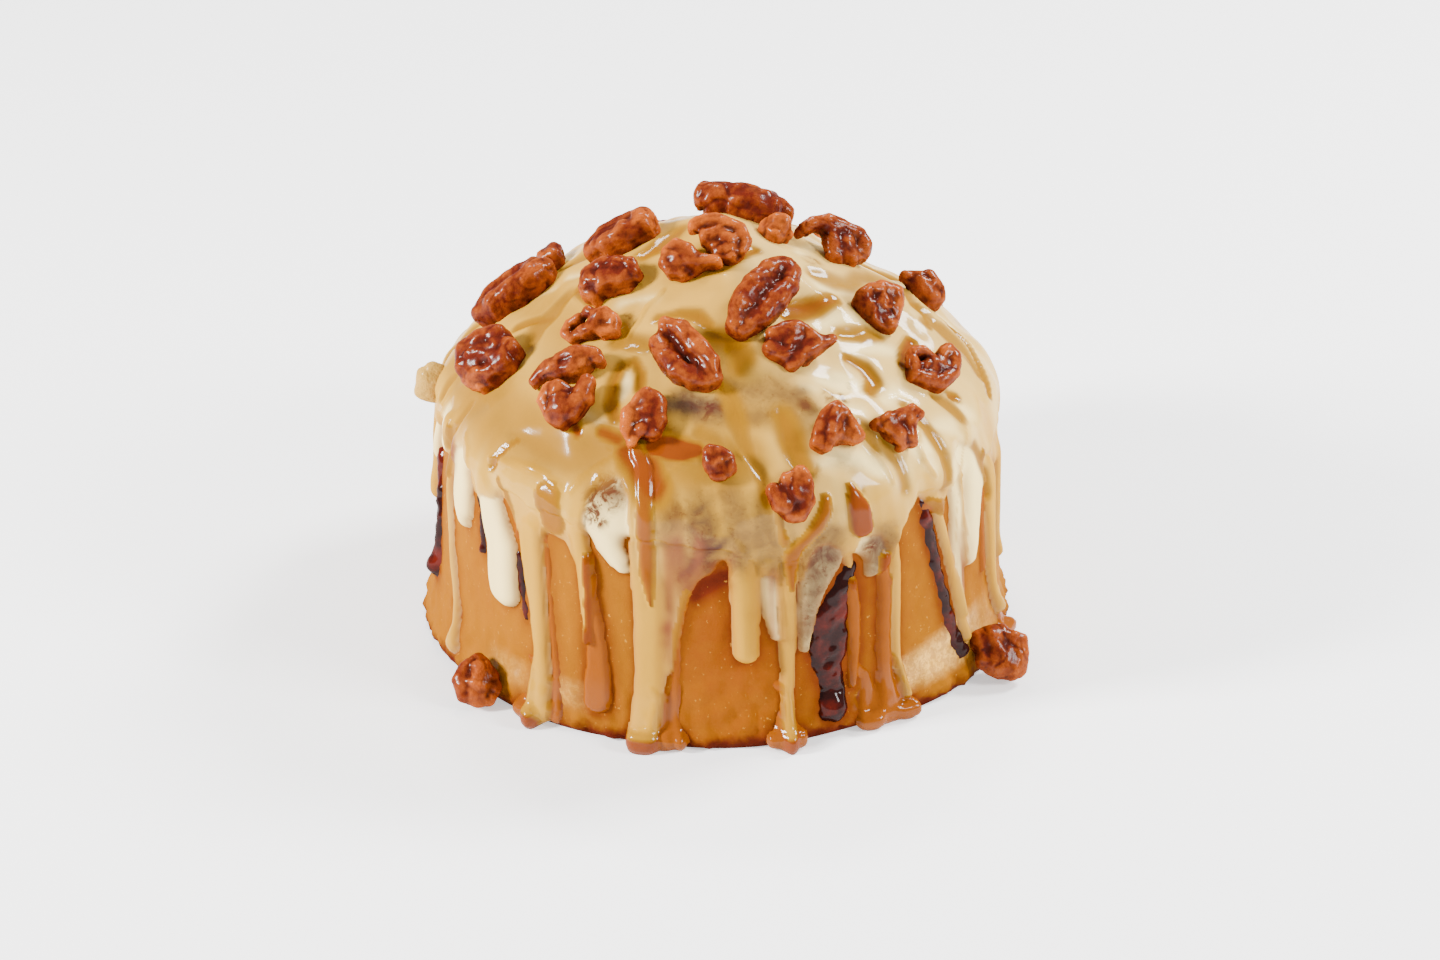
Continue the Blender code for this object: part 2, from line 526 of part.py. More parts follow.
def run_bead(name, start, end, start_width, end_width, proud, base, grow, collection):
    """A run of icing, caramel or syrup: a tube along the side, sunk so that a low ridge shows."""
    length = end[1] - start[1]
    stations = np.concatenate([np.linspace(0, 1 - end_width / 2.4 / length, max(3, round(length / 9))),
                               [1 - end_width / 5.5 / length, 1.0]])
    curve = bpy.data.curves.new(name, "CURVE")
    curve.dimensions = "3D"
    curve.bevel_depth = MM
    curve.bevel_resolution = 2
    curve.use_fill_caps = True
    spline = curve.splines.new("POLY")
    spline.points.add(len(stations) - 1)
    taper = (1.0,) * (len(stations) - 2) + (0.82, 0.35)
    stations[[0, -1]] += np.array([-1.5, 1.5]) * grow / length
    for point, along, narrow in zip(spline.points, stations, taper):
        azimuth = start[0] + (end[0] - start[0]) * along
        width = (start_width + (end_width - start_width) * max(0.0, along) ** 0.7) * narrow
        height = proud * (0.55 + 0.45 * narrow)
        radius, sunk = bead_size(width, height)
        point.co = (*skin(azimuth, start[1] + length * along, base - sunk), 1)
        point.radius = radius + grow
    tube = add_object(name, curve, collection)
    solid = solid_copy(tube, name, collection)
    weld_into_triangles(solid)
    return solid


def toe_bead(name, start, end, collection):
    """A toe of caramel round the foot: a short level tube that is thick in the middle."""
    curve = bpy.data.curves.new(name, "CURVE")
    curve.dimensions = "3D"
    curve.bevel_depth = MM
    curve.bevel_resolution = 2
    curve.use_fill_caps = True
    spline = curve.splines.new("POLY")
    stations = np.linspace(0, 1, 6)
    spline.points.add(len(stations) - 1)
    for point, along in zip(spline.points, stations):
        turn = math.radians(start + (end - start) * along)
        thick = TOE_RADIUS * (0.55 + 0.45 * math.sin(math.pi * along))
        level = TOE_HEIGHT - TOE_RADIUS + thick
        point.co = (TOE_REACH * math.sin(turn) * MM, -TOE_REACH * math.cos(turn) * MM, level * MM, 1)
        point.radius = thick
    tube = add_object(name, curve, collection)
    solid = solid_copy(tube, name, collection)
    weld_into_triangles(solid)
    return solid


def back_runs():
    """Runs of icing round the unseen back, like those in front but drawn by a seeded rule."""
    draw = random.Random(BACK_RUN_SEED)
    runs = []
    for azimuth in BACK_RUN_AZIMUTHS:
        start = (azimuth + draw.uniform(-2, 2), 71)
        end = (start[0] + draw.uniform(-2, 2), draw.uniform(85, 115))
        width = draw.uniform(4.5, 9.0)
        runs.append((start, end, width, width * draw.uniform(0.5, 0.85), draw.uniform(1.4, 2.0)))
    return runs


def syrup_beads(collection, grow=0.0):
    for number, run in enumerate(SYRUP_RUNS):
        run_bead(f"syrup_{number}", *run, 0.0, grow, collection)


def make_bun(parts):
    bun = bread_body("bun", 0.0, parts)
    syrup = new_collection("syrup_beads")
    syrup_beads(syrup)
    bun = boolean(bun, "UNION", syrup, "MANIFOLD")
    keep_largest_body(bun)
    return bun


def icing_depth(fraction):
    """Depth of the poured cap, thinner towards its hem and rounded at the lip."""
    lip = math.sqrt(max(0.0, 1 - fraction ** 16))
    return ICING_DEPTH * (0.35 + 0.65 * lip) * (1 - 0.25 * fraction ** 4)


def icing_cap(name, collection):
    """The poured cap: a disc of icing wrapped over the crown, rooted in the bread until it is cut."""
    def place(azimuth, fraction, upper):
        edge = hem(azimuth)
        if upper:
            return skin(azimuth, fraction * edge, icing_depth(fraction))
        return skin(azimuth, fraction * (edge - 1.5), -ICING_ROOT)

    disc = turned_disc(name, ICING_ROWS, 4, collection)
    wrap(disc, place)
    return disc


def make_icing(parts):
    icing = icing_cap("icing", parts)
    beads = new_collection("icing_beads")
    for number, run in enumerate(list(ICING_RUNS) + back_runs() + list(CARAMEL_RUNS)):
        run_bead(f"run_{number}", *run, 0.0, 0.0, beads)
    for number, (start, end) in enumerate(CARAMEL_TOES):
        toe_bead(f"toe_{number}", start, end, beads)
    icing = boolean(icing, "UNION", beads, "MANIFOLD")
    bread = new_collection("grown_bread")
    bread_body("grown_bun", GAP, bread)
    syrup_beads(bread, GAP)
    icing = boolean(icing, "DIFFERENCE", bread, "MANIFOLD")
    keep_largest_body(icing)
    return icing


def kernel_distance(points, kernel, sag):
    """Distance from points to a kernel's surface; below its middle a lobe sags by one part in sag."""
    total = np.zeros(len(points))
    for lobe in kernel:
        for start, end in zip(lobe, lobe[1:] or lobe):
            start, end = np.array(start), np.array(end)
            way = (end - start)[:3]
            along = np.clip((points - start[:3]) @ way / max(way @ way, 0.000001), 0, 1)[:, None]
            off = points - start[:3] - way * along
            off[:, 2] *= np.where(off[:, 2] < 0, sag, 1.0)
            radius = start[3] + (end[3] - start[3]) * along[:, 0]
            total += np.exp((radius - np.linalg.norm(off, axis=1)) / KERNEL_BLEND)
    return -KERNEL_BLEND * np.log(total)


def kernel_reach(direction, kernel, sag):
    """How far a kernel's surface lies from its middle, in a unit direction."""
    steps = np.arange(0.0, 14.0, 0.1)
    distance = kernel_distance(steps[:, None] * np.array(direction), kernel, sag)
    inside = np.nonzero(distance < 0)[0]
    if not len(inside):
        return 1.0
    last = inside[-1]
    return max(1.0, steps[last] + 0.1 * distance[last] / (distance[last] - distance[last + 1]))


def kernel_mesh(name, form, sag):
    shape = bmesh.new()
    segments, rings = HALF_MESH if form in HALVES else PIECE_MESH
    bmesh.ops.create_uvsphere(shape, u_segments=segments, v_segments=rings, radius=1)
    for vert in shape.verts:
        direction = Vector((vert.co.z, vert.co.x, vert.co.y))
        vert.co = direction * kernel_reach(direction, KERNELS[form], sag) * MM
    mesh = bpy.data.meshes.new(name)
    shape.to_mesh(mesh)
    shape.free()
    return mesh


def place_under(point):
    """Azimuth and fall of the place on the bread that lies nearest under a point."""
    x, y, level = point / MM
    x -= CROWN_LEAN * level
    nearest = np.argmin(np.hypot(RADII - math.hypot(x, y), HEIGHTS - level))
    return math.degrees(math.atan2(x, -y)), FALLS[nearest]


def lift_clear(mesh, bed):
    """Flattens a pecan's underside on what it lies on, a gap above it."""
    for vert in mesh.vertices:
        azimuth, fall = place_under(vert.co)
        _, _, out = skin_frame(azimuth, fall)
        short = (skin(azimuth, fall, bed(azimuth, fall) + GAP) - vert.co).dot(out)
        if short > 0:
            vert.co += out * short


def lay_on_icing(mesh, row):
    """Lays a pecan on the icing, its long axis turned as the row says."""
    _, azimuth, fall, height, turn = row
    across, climb, out = skin_frame(azimuth, fall)
    along = across * math.cos(math.radians(turn)) + climb * math.sin(math.radians(turn))
    frame = Matrix((along, out.cross(along), out)).transposed().to_4x4()
    frame.translation = skin(azimuth, fall, ICING_DEPTH + height / 2 - PECAN_SINK)
    mesh.transform(frame)
    lift_clear(mesh, lambda turned, fallen: icing_depth(min(1.0, fallen / hem(turned))))


def lean_at_foot(mesh, row):
    """Stands a pecan on the ground, leaning on the foot of the bread."""
    _, azimuth, distance, height, turn = row
    angle = math.radians(azimuth)
    frame = Matrix.Rotation(angle + math.radians(turn), 4, "Z")
    frame.translation = Vector((distance * math.sin(angle), -distance * math.cos(angle), height)) * MM
    mesh.transform(frame)
    lift_clear(mesh, lambda turned, fallen: 0.0)
    for vert in mesh.vertices:
        vert.co.z = max(vert.co.z, GAP * MM)


def make_pecans(parts):
    pecans = []
    for number, row in enumerate(PECANS + FOOT_PECANS, start=1):
        on_icing = number <= len(PECANS)
        mesh = kernel_mesh(f"pecan_{number:02d}", row[0], KERNEL_SAG if on_icing else 1.0)
        if on_icing:
            lay_on_icing(mesh, row)
        else:
            lean_at_foot(mesh, row)
        pecans.append(add_object(mesh.name, mesh, parts))
    return pecans


def finish(thing, material):
    thing.data.materials.clear()
    thing.data.materials.append(material)
    thing.data.shade_smooth()
    thing.data.set_sharp_from_angle(angle=math.radians(50))


def main():
    for thing in list(bpy.data.objects):
        bpy.data.objects.remove(thing)
    parts = new_collection("sticky_bun")
    bun = make_bun(parts)
    icing = make_icing(parts)
    pecans = make_pecans(parts)
    finish(bun, bound_material("bread", 0.5))
    finish(icing, bound_material("icing", 0.25))
    shell = bound_material("pecan", 0.25)
    for pecan in pecans:
        finish(pecan, shell)


main()
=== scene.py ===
import math
import random

import bpy
import numpy as np
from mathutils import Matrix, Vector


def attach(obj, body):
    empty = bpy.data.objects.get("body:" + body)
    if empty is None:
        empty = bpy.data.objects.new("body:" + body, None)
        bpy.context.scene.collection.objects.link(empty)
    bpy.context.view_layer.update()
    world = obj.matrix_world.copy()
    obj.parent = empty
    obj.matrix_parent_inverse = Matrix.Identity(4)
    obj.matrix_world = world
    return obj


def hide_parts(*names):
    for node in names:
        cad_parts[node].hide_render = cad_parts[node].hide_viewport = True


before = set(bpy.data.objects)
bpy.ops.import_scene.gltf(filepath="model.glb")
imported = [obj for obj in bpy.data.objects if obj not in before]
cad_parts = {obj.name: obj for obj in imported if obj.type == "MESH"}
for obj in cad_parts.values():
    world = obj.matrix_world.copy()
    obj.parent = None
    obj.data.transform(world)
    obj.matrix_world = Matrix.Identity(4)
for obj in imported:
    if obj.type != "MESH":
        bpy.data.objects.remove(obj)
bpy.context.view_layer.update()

# The table: a pale matt top under a wide white sky, with small soft lamps high on the left, on the
# right and behind for crisp highlights, and a long lens looking down at the front.
SIGHT_LENGTH = 0.732
SIGHT_RISE = math.radians(29.6)
AIM_RISE = math.radians(27.63)
AIM_TURN = math.radians(-0.05)
TABLE_HALF = 4.0

table_mesh = bpy.data.meshes.new("table_top")
table_corners = [(TABLE_HALF * x, TABLE_HALF * y, 0) for x, y in ((-1, -1), (1, -1), (1, 1), (-1, 1))]
table_mesh.from_pydata(table_corners, [], [(0, 1, 2, 3)])
table_top = bpy.data.objects.new("table_top", table_mesh)
bpy.context.collection.objects.link(table_top)

table_paint = bpy.data.materials.new("table_paint")
table_paint.use_nodes = True
table_sockets = table_paint.node_tree.nodes["Principled BSDF"].inputs
table_sockets["Base Color"].default_value = (0.82, 0.82, 0.825, 1)
table_sockets["Roughness"].default_value = 0.9
table_sockets["Emission Color"].default_value = (1, 1, 1, 1)
table_sockets["Emission Strength"].default_value = 0.7
table_mesh.materials.append(table_paint)


def hang_lamp(name, place, aim, width, height, power, blue=1.0):
    """A soft lamp turned towards its aim, with a white light or one that lacks a little blue."""
    lamp = bpy.data.lights.new(name, "AREA")
    lamp.shape = "RECTANGLE"
    lamp.size = width
    lamp.size_y = height
    lamp.energy = power
    lamp.color = (1.0, 0.5 + 0.5 * blue, blue)
    stand = bpy.data.objects.new(name, lamp)
    stand.location = place
    towards = Vector(aim) - Vector(place)
    stand.rotation_euler = towards.to_track_quat("-Z", "Y").to_euler()
    bpy.context.collection.objects.link(stand)


hang_lamp("key_lamp", (-1.05, -0.35, 0.6), (0, 0, 0.05), width=0.2, height=0.3, power=50.0, blue=0.97)
hang_lamp("fill_lamp", (0.95, -0.45, 0.65), (0, 0, 0.05), width=0.34, height=0.34, power=20.0)
hang_lamp("rim_lamp", (0.7, 0.4, 0.8), (0, 0, 0.06), width=0.28, height=0.28, power=24.0)
hang_lamp("back_lamp", (-0.1, 0.75, 1.1), (0, 0, 0.06), width=0.3, height=0.15, power=10.0)

sky = bpy.data.worlds.new("studio_sky")
sky.use_nodes = True
sky.node_tree.nodes["Background"].inputs["Color"].default_value = (1.0, 1.0, 1.0, 1)
sky.node_tree.nodes["Background"].inputs["Strength"].default_value = 0.6
bpy.context.scene.world = sky

lens = bpy.data.cameras.new("long_lens")
lens.lens = 85
lens.sensor_width = 36
camera = bpy.data.objects.new("long_lens", lens)
camera.location = (0, -SIGHT_LENGTH * math.cos(SIGHT_RISE), SIGHT_LENGTH * math.sin(SIGHT_RISE))
camera.rotation_euler = (math.pi / 2 - AIM_RISE, 0, AIM_TURN)
bpy.context.collection.objects.link(camera)
bpy.context.scene.camera = camera

# The bread: one tall bun of sweet yeast dough, baked in a deep ring until its side is golden and
# its foot has caught. A place on it is an azimuth in degrees, 0 at the front and growing to the
# right, and a fall, the millimetres down from the crown along its surface.
BREAD_OUTLINE = (
    (0.0, 85.5), (4.0, 84.9), (10.0, 82.6), (22.5, 76.7), (39.4, 66.1), (48.7, 58.9), (55.2, 51.6),
    (57.6, 42.5), (58.5, 30.0), (59.3, 14.0), (61.2, 4.5), (61.9, 2.0), (61.0, 0.0),
)
CROWN_LEAN = -1.0 / 86.0
LUMP_HEIGHT = 0.55
CURVE_STEPS = 30


def outline_curve(points):
    """A smooth curve through the outline's points, as columns of radius, height and fall."""
    ends = [(-points[1][0], points[1][1])] + list(points) + [points[-1]]
    curve = []
    for before, start, end, after in zip(ends, ends[1:], ends[2:], ends[3:]):
        for step in range(CURVE_STEPS):
            t = step / CURVE_STEPS
            curve.append([
                0.5 * (2 * b + (c - a) * t + (2 * a - 5 * b + 4 * c - d) * t ** 2
                       + (3 * b - a - 3 * c + d) * t ** 3)
                for a, b, c, d in zip(before, start, end, after)
            ])
    curve = np.array(curve + [points[-1]], dtype=float)
    paces = np.hypot(*np.diff(curve, axis=0).T)
    return curve[:, 0], curve[:, 1], np.concatenate([[0.0], np.cumsum(paces)])


RADII, HEIGHTS, FALLS = outline_curve(BREAD_OUTLINE)
WHOLE_FALL = FALLS[-1]


def slope_out(fall):
    """How far outward and how far upward one millimetre off the bread goes, at a fall."""
    run = np.interp(fall + 1, FALLS, RADII) - np.interp(fall - 1, FALLS, RADII)
    drop = np.interp(fall + 1, FALLS, HEIGHTS) - np.interp(fall - 1, FALLS, HEIGHTS)
    length = np.hypot(run, drop)
    return -drop / length, run / length


def lump(azimuth, fall):
    """How far the baked bread swells out or sinks in."""
    turn = np.radians(azimuth)
    swell = (np.sin(3 * turn + 0.6 + fall / 31) + 0.8 * np.sin(5 * turn + 2.1 - fall / 19)
             + 0.6 * np.sin(8 * turn + 4.0 + fall / 13))
    return LUMP_HEIGHT * swell * np.minimum(1.0, fall / 25)


def skin(azimuth, fall, lift=0.0):
    """Points in millimetres on the bread, or lifted off it."""
    azimuth, fall, lift = np.broadcast_arrays(azimuth, fall, lift)
    outward, upward = slope_out(fall)
    off = lift + lump(azimuth, fall)
    reach = np.interp(fall, FALLS, RADII) + outward * off
    level = np.maximum(0.0, np.interp(fall, FALLS, HEIGHTS) + upward * off)
    turn = np.radians(azimuth)
    return np.stack([reach * np.sin(turn) + CROWN_LEAN * level, -reach * np.cos(turn), level], axis=-1)


# Caramel: boiled sugar and butter poured last, so it lies in streaks on the crown, runs down the
# side in amber bands and stands in toes round the foot. Each run is a line of azimuth, fall and
# width, with its depth in millimetres; each toe is the azimuths between which it lies.
CARAMEL_SIDE = (
    (((-34.8, 75.9, 1.2), (-33.9, 84, 1.1), (-33.2, 93.2, 1.1), (-32.7, 102, 1.4), (-31.4, 116, 3)), 0.5),
    (((-24.5, 78, 1.4), (-24.1, 86, 2), (-23.5, 92.5, 3.4), (-23.3, 99.3, 4.6), (-23, 110, 5.6)), 1.1),
    (((-17.4, 56.4, 2.6), (-14.8, 60, 3.2), (-13.3, 66, 3.3), (-12.9, 76, 3.3), (-11.9, 86.3, 1.1)), 0.9),
    (((22.2, 66.5, 2), (21.6, 68.8, 2.4), (19.5, 71.6, 2.6), (16.9, 73.9, 2.9), (14.8, 76.5, 3.4),
      (14.8, 80.4, 2.6), (14.9, 83.9, 1.1)), 0.85),
    (((12.2, 66, 1.2), (12.6, 69.1, 1.4), (13.4, 73.3, 1.9)), 0.5),
    (((27.1, 85.2, 3), (27.7, 92.1, 3), (28, 101.3, 2.6), (27.2, 107.9, 1.7)), 1.3),
    (((34.2, 81, 2.4), (34.9, 90, 3), (34.8, 103.4, 2.8), (34.2, 116.5, 5)), 1.3),
    (((-33.5, 68.5, 6), (-32.6, 73, 5.5)), 0.45),
    (((27.4, 65.4, 1.6), (28.4, 69.4, 4.4), (28.7, 72.7, 4.6)), 1.1),
    (((67.8, 71.9, 2.2), (68.2, 79.2, 2.6), (67, 87.6, 2.4), (66, 97, 2.2)), 0.5),
    (((-5.5, 84, 1.5), (-7.4, 93, 1.4), (-8.2, 109.6, 2.0), (-7.8, 116.5, 3)), 0.4),
    (((47.2, 74.4, 2.8), (50.9, 76.3, 3)), 0.45),
    (((-70.5, 68, 2.0), (-69.5, 77, 2.0)), 0.4),
    (((-46.5, 69, 1.5), (-43.5, 74.5, 2), (-41.8, 80, 1.2)), 0.5),
)
CARAMEL_TOES = ((-41, -34), (-17, -5.5), (9, 17), (27, 33), (34.5, 41), (70, 78), (112, 124),
                (167, 176), (201, 214), (250, 259))
TOE_DEPTH = 2.1
TOE_FALL = 116.2
TOE_FEED_DEPTH = 0.4
LAST_NEAR_TOE = 90
BACK_FEED_FALL = 74

caramel_runs = list(CARAMEL_SIDE)
for start, end in CARAMEL_TOES:
    middle = (start + end) / 2
    toe = ((start + 1.5, TOE_FALL, 3.0), (middle, TOE_FALL, 4.6), (end - 1.5, TOE_FALL, 3.0))
    top = TOE_FALL - 11 if start < LAST_NEAR_TOE else BACK_FEED_FALL
    feed = ((middle - 1, top, 1.6), (middle + 0.4, TOE_FALL - 9, 2.0), (middle, TOE_FALL - 2, 4.2))
    caramel_runs += [(toe, TOE_DEPTH), (feed, TOE_FEED_DEPTH)]

# Icing: a thick white cream poured first, with a tan caramel glaze over most of it. Both hang in
# runs that end in round drops, and the tan hem arches up over each white run. The hems are given
# by azimuth and fall, the runs as above.
WHITE_HEM = (
    (-180, 72.8), (-90, 70.8), (-66, 68.8), (-56, 70.8), (-40, 70.8), (-31, 71.8), (-17, 72.8),
    (1, 74.8), (8, 76.8), (20, 76.8), (30, 78.8), (37, 78.8), (44, 70.8), (54, 72.8), (66, 73.8),
    (90, 71.8), (180, 72.8),
)
WHITE_RUNS = (
    (((-87, 67, 6), (-86.5, 76, 5.5), (-86, 80.5, 4)), 1.4),
    (((-74, 63.2, 8), (-74, 68.8, 8), (-74, 71.8, 6)), 1.6),
    (((-66, 64, 7), (-63.5, 70.9, 8), (-61.2, 75.6, 8.6), (-60.2, 79.5, 7.4), (-59.6, 82.6, 4)), 1.7),
    (((-51.9, 70, 6), (-50, 75, 7.5), (-46.4, 82.5, 8.8), (-45.6, 92, 8.6)), 1.9),
    (((-25, 68.9, 3), (-22.8, 71.2, 5.4), (-20.8, 74.4, 6), (-18.9, 77.5, 4.6), (-17.8, 79.2, 3)), 1.6),
    (((10.2, 78, 4), (10.5, 83, 4), (11, 89, 3.8), (11.8, 94, 2.6)), 1.4),
    (((21.3, 74, 8.5), (21, 78.7, 8.8), (19.5, 83.6, 6.4), (18, 88.9, 4.6), (17.3, 97.6, 2.4)), 1.7),
    (((33.9, 76, 6), (33.5, 80.3, 6.4), (32, 83.2, 4)), 1.2),
    (((64.8, 67, 7), (63.8, 76.8, 8.5), (61.3, 84.7, 6.6), (59.5, 91, 4)), 1.7),
    (((59.5, 68, 4), (57.2, 75, 4.6), (55.6, 84.2, 4), (55.4, 102, 2)), 1.1),
)
TAN_HEM = (
    (-180, 74.8), (-90, 72.8), (-79, 72.8), (-77, 65.2), (-72, 64.2), (-70, 72.8), (-67, 76.8),
    (-65, 68.8), (-61, 67), (-58, 72), (-56, 76.5), (-54, 76), (-51, 73.5), (-47, 72.5), (-44.5, 74),
    (-42, 78), (-36, 75), (-31, 75.5), (-27, 72.8), (-24, 64.2), (-20, 62), (-17, 64.2), (-15.6, 78.8),
    (-10, 83.8), (-6, 82.8), (-3, 81.3), (1, 77.8), (4, 76.8), (8, 80.3), (11, 79.8), (15, 79.8),
    (17, 75.8), (21, 73.3), (25, 75.8), (27, 78.8), (29, 75.8), (33, 74.8), (36, 77.8), (39, 76.8),
    (41, 75.8), (45, 72.3), (48, 73.8), (51, 75.8), (55, 74.8), (58, 67.8), (61, 66.7), (65, 70.8),
    (68, 78.8), (72, 76.8), (80, 79.8), (90, 75.8), (180, 74.8),
)
TAN_RUNS = (
    (((-71.5, 66.8, 5), (-69.2, 80.8, 3.0), (-66, 94.8, 2.4), (-62.8, 108.6, 2.4), (-63, 113, 4.4)),
     1.3),
    (((-41.2, 62, 8), (-39.4, 67.6, 7.6), (-38.6, 74.4, 6.6), (-37.8, 81.4, 6.4), (-36.4, 92, 4.8),
      (-35.6, 102, 4.2), (-35, 115, 6)), 1.8),
    (((-19.6, 56.7, 4), (-23.5, 59.2, 5), (-26.9, 62.5, 5.8), (-28.9, 66.5, 6.4), (-28.6, 70.5, 5.6),
      (-26.9, 75, 4.2), (-25.6, 80, 3.6), (-25.1, 87, 3.2), (-24.8, 96, 2)), 1.8),
    (((-18.6, 57.8, 4), (-16.3, 63.1, 2.4), (-15.2, 69.5, 1.6), (-14.4, 82, 1.4)), 1.1),
    (((-13.5, 74.8, 6), (-12.6, 84, 6.8), (-12.6, 93, 6.4), (-12.8, 102.8, 6), (-13.6, 116, 6.6)), 1.6),
    (((-7, 76.8, 8), (-8.2, 86.8, 5), (-9.4, 100.8, 2.2)), 0.7),
    (((5.6, 72.8, 6.8), (5.8, 84, 5.9), (5.8, 97.2, 5.3)), 2.2),
    (((13.6, 72.8, 4.6), (13.9, 80.7, 3.8), (14, 87.3, 4), (14, 96.1, 3.9), (13.9, 102, 2.8),
      (13.2, 117, 3)), 1.6),
    (((16.4, 82, 1.4), (17.4, 77.3, 1.6), (19.3, 74.4, 1.9), (22.6, 73.5, 2.1), (25.3, 76.1, 2.0),
      (26.9, 80.7, 1.8), (27.3, 85.7, 1.2)), 0.9),
    (((33, 68.8, 7), (36.2, 75.8, 4.2), (37.4, 84, 3.2), (37.6, 95, 2.6), (37.6, 104.8, 2.4),
      (38.6, 113, 2.2)), 1.5),
    (((49.4, 72, 3), (50.4, 78, 2.6), (52, 84.3, 2.6), (53.6, 92.4, 2.4), (56.4, 108, 2.8)), 1.4),
    (((58, 71, 1.6), (58.4, 80, 1.3), (57, 98, 1)), 0.8),
    (((71.5, 70.8, 6), (72.1, 80, 6.4), (71, 90, 5), (70.6, 98.5, 4.4), (72.8, 110, 3.4)), 1.7),
    (((-35.8, 75.1, 1.1), (-32.9, 75.3, 1.3), (-29.9, 75.5, 1.2), (-28, 78, 1.1)), 0.9),
)
BACK_RUN_AZIMUTHS = range(84, 275, 13)
BACK_RUN_SEED = 12
BACK_STREAKS = 22
CREAM_DEPTH = 1.5
CREAM_RIM = 2.8
TAN_DEPTH = 0.8
TAN_RIM = 2.4
CARAMEL_RIM = 1.2
WHITE_SWELL = 0.5
DROP_SWELL = 0.35
# The share of the tan glaze that stays on the crown, by azimuth.
TAN_SHARE = ((-180, 1.0), (-110, 1.1), (-60, 1.2), (5, 1.1), (30, 0.4), (90, 0.45), (180, 1.0))
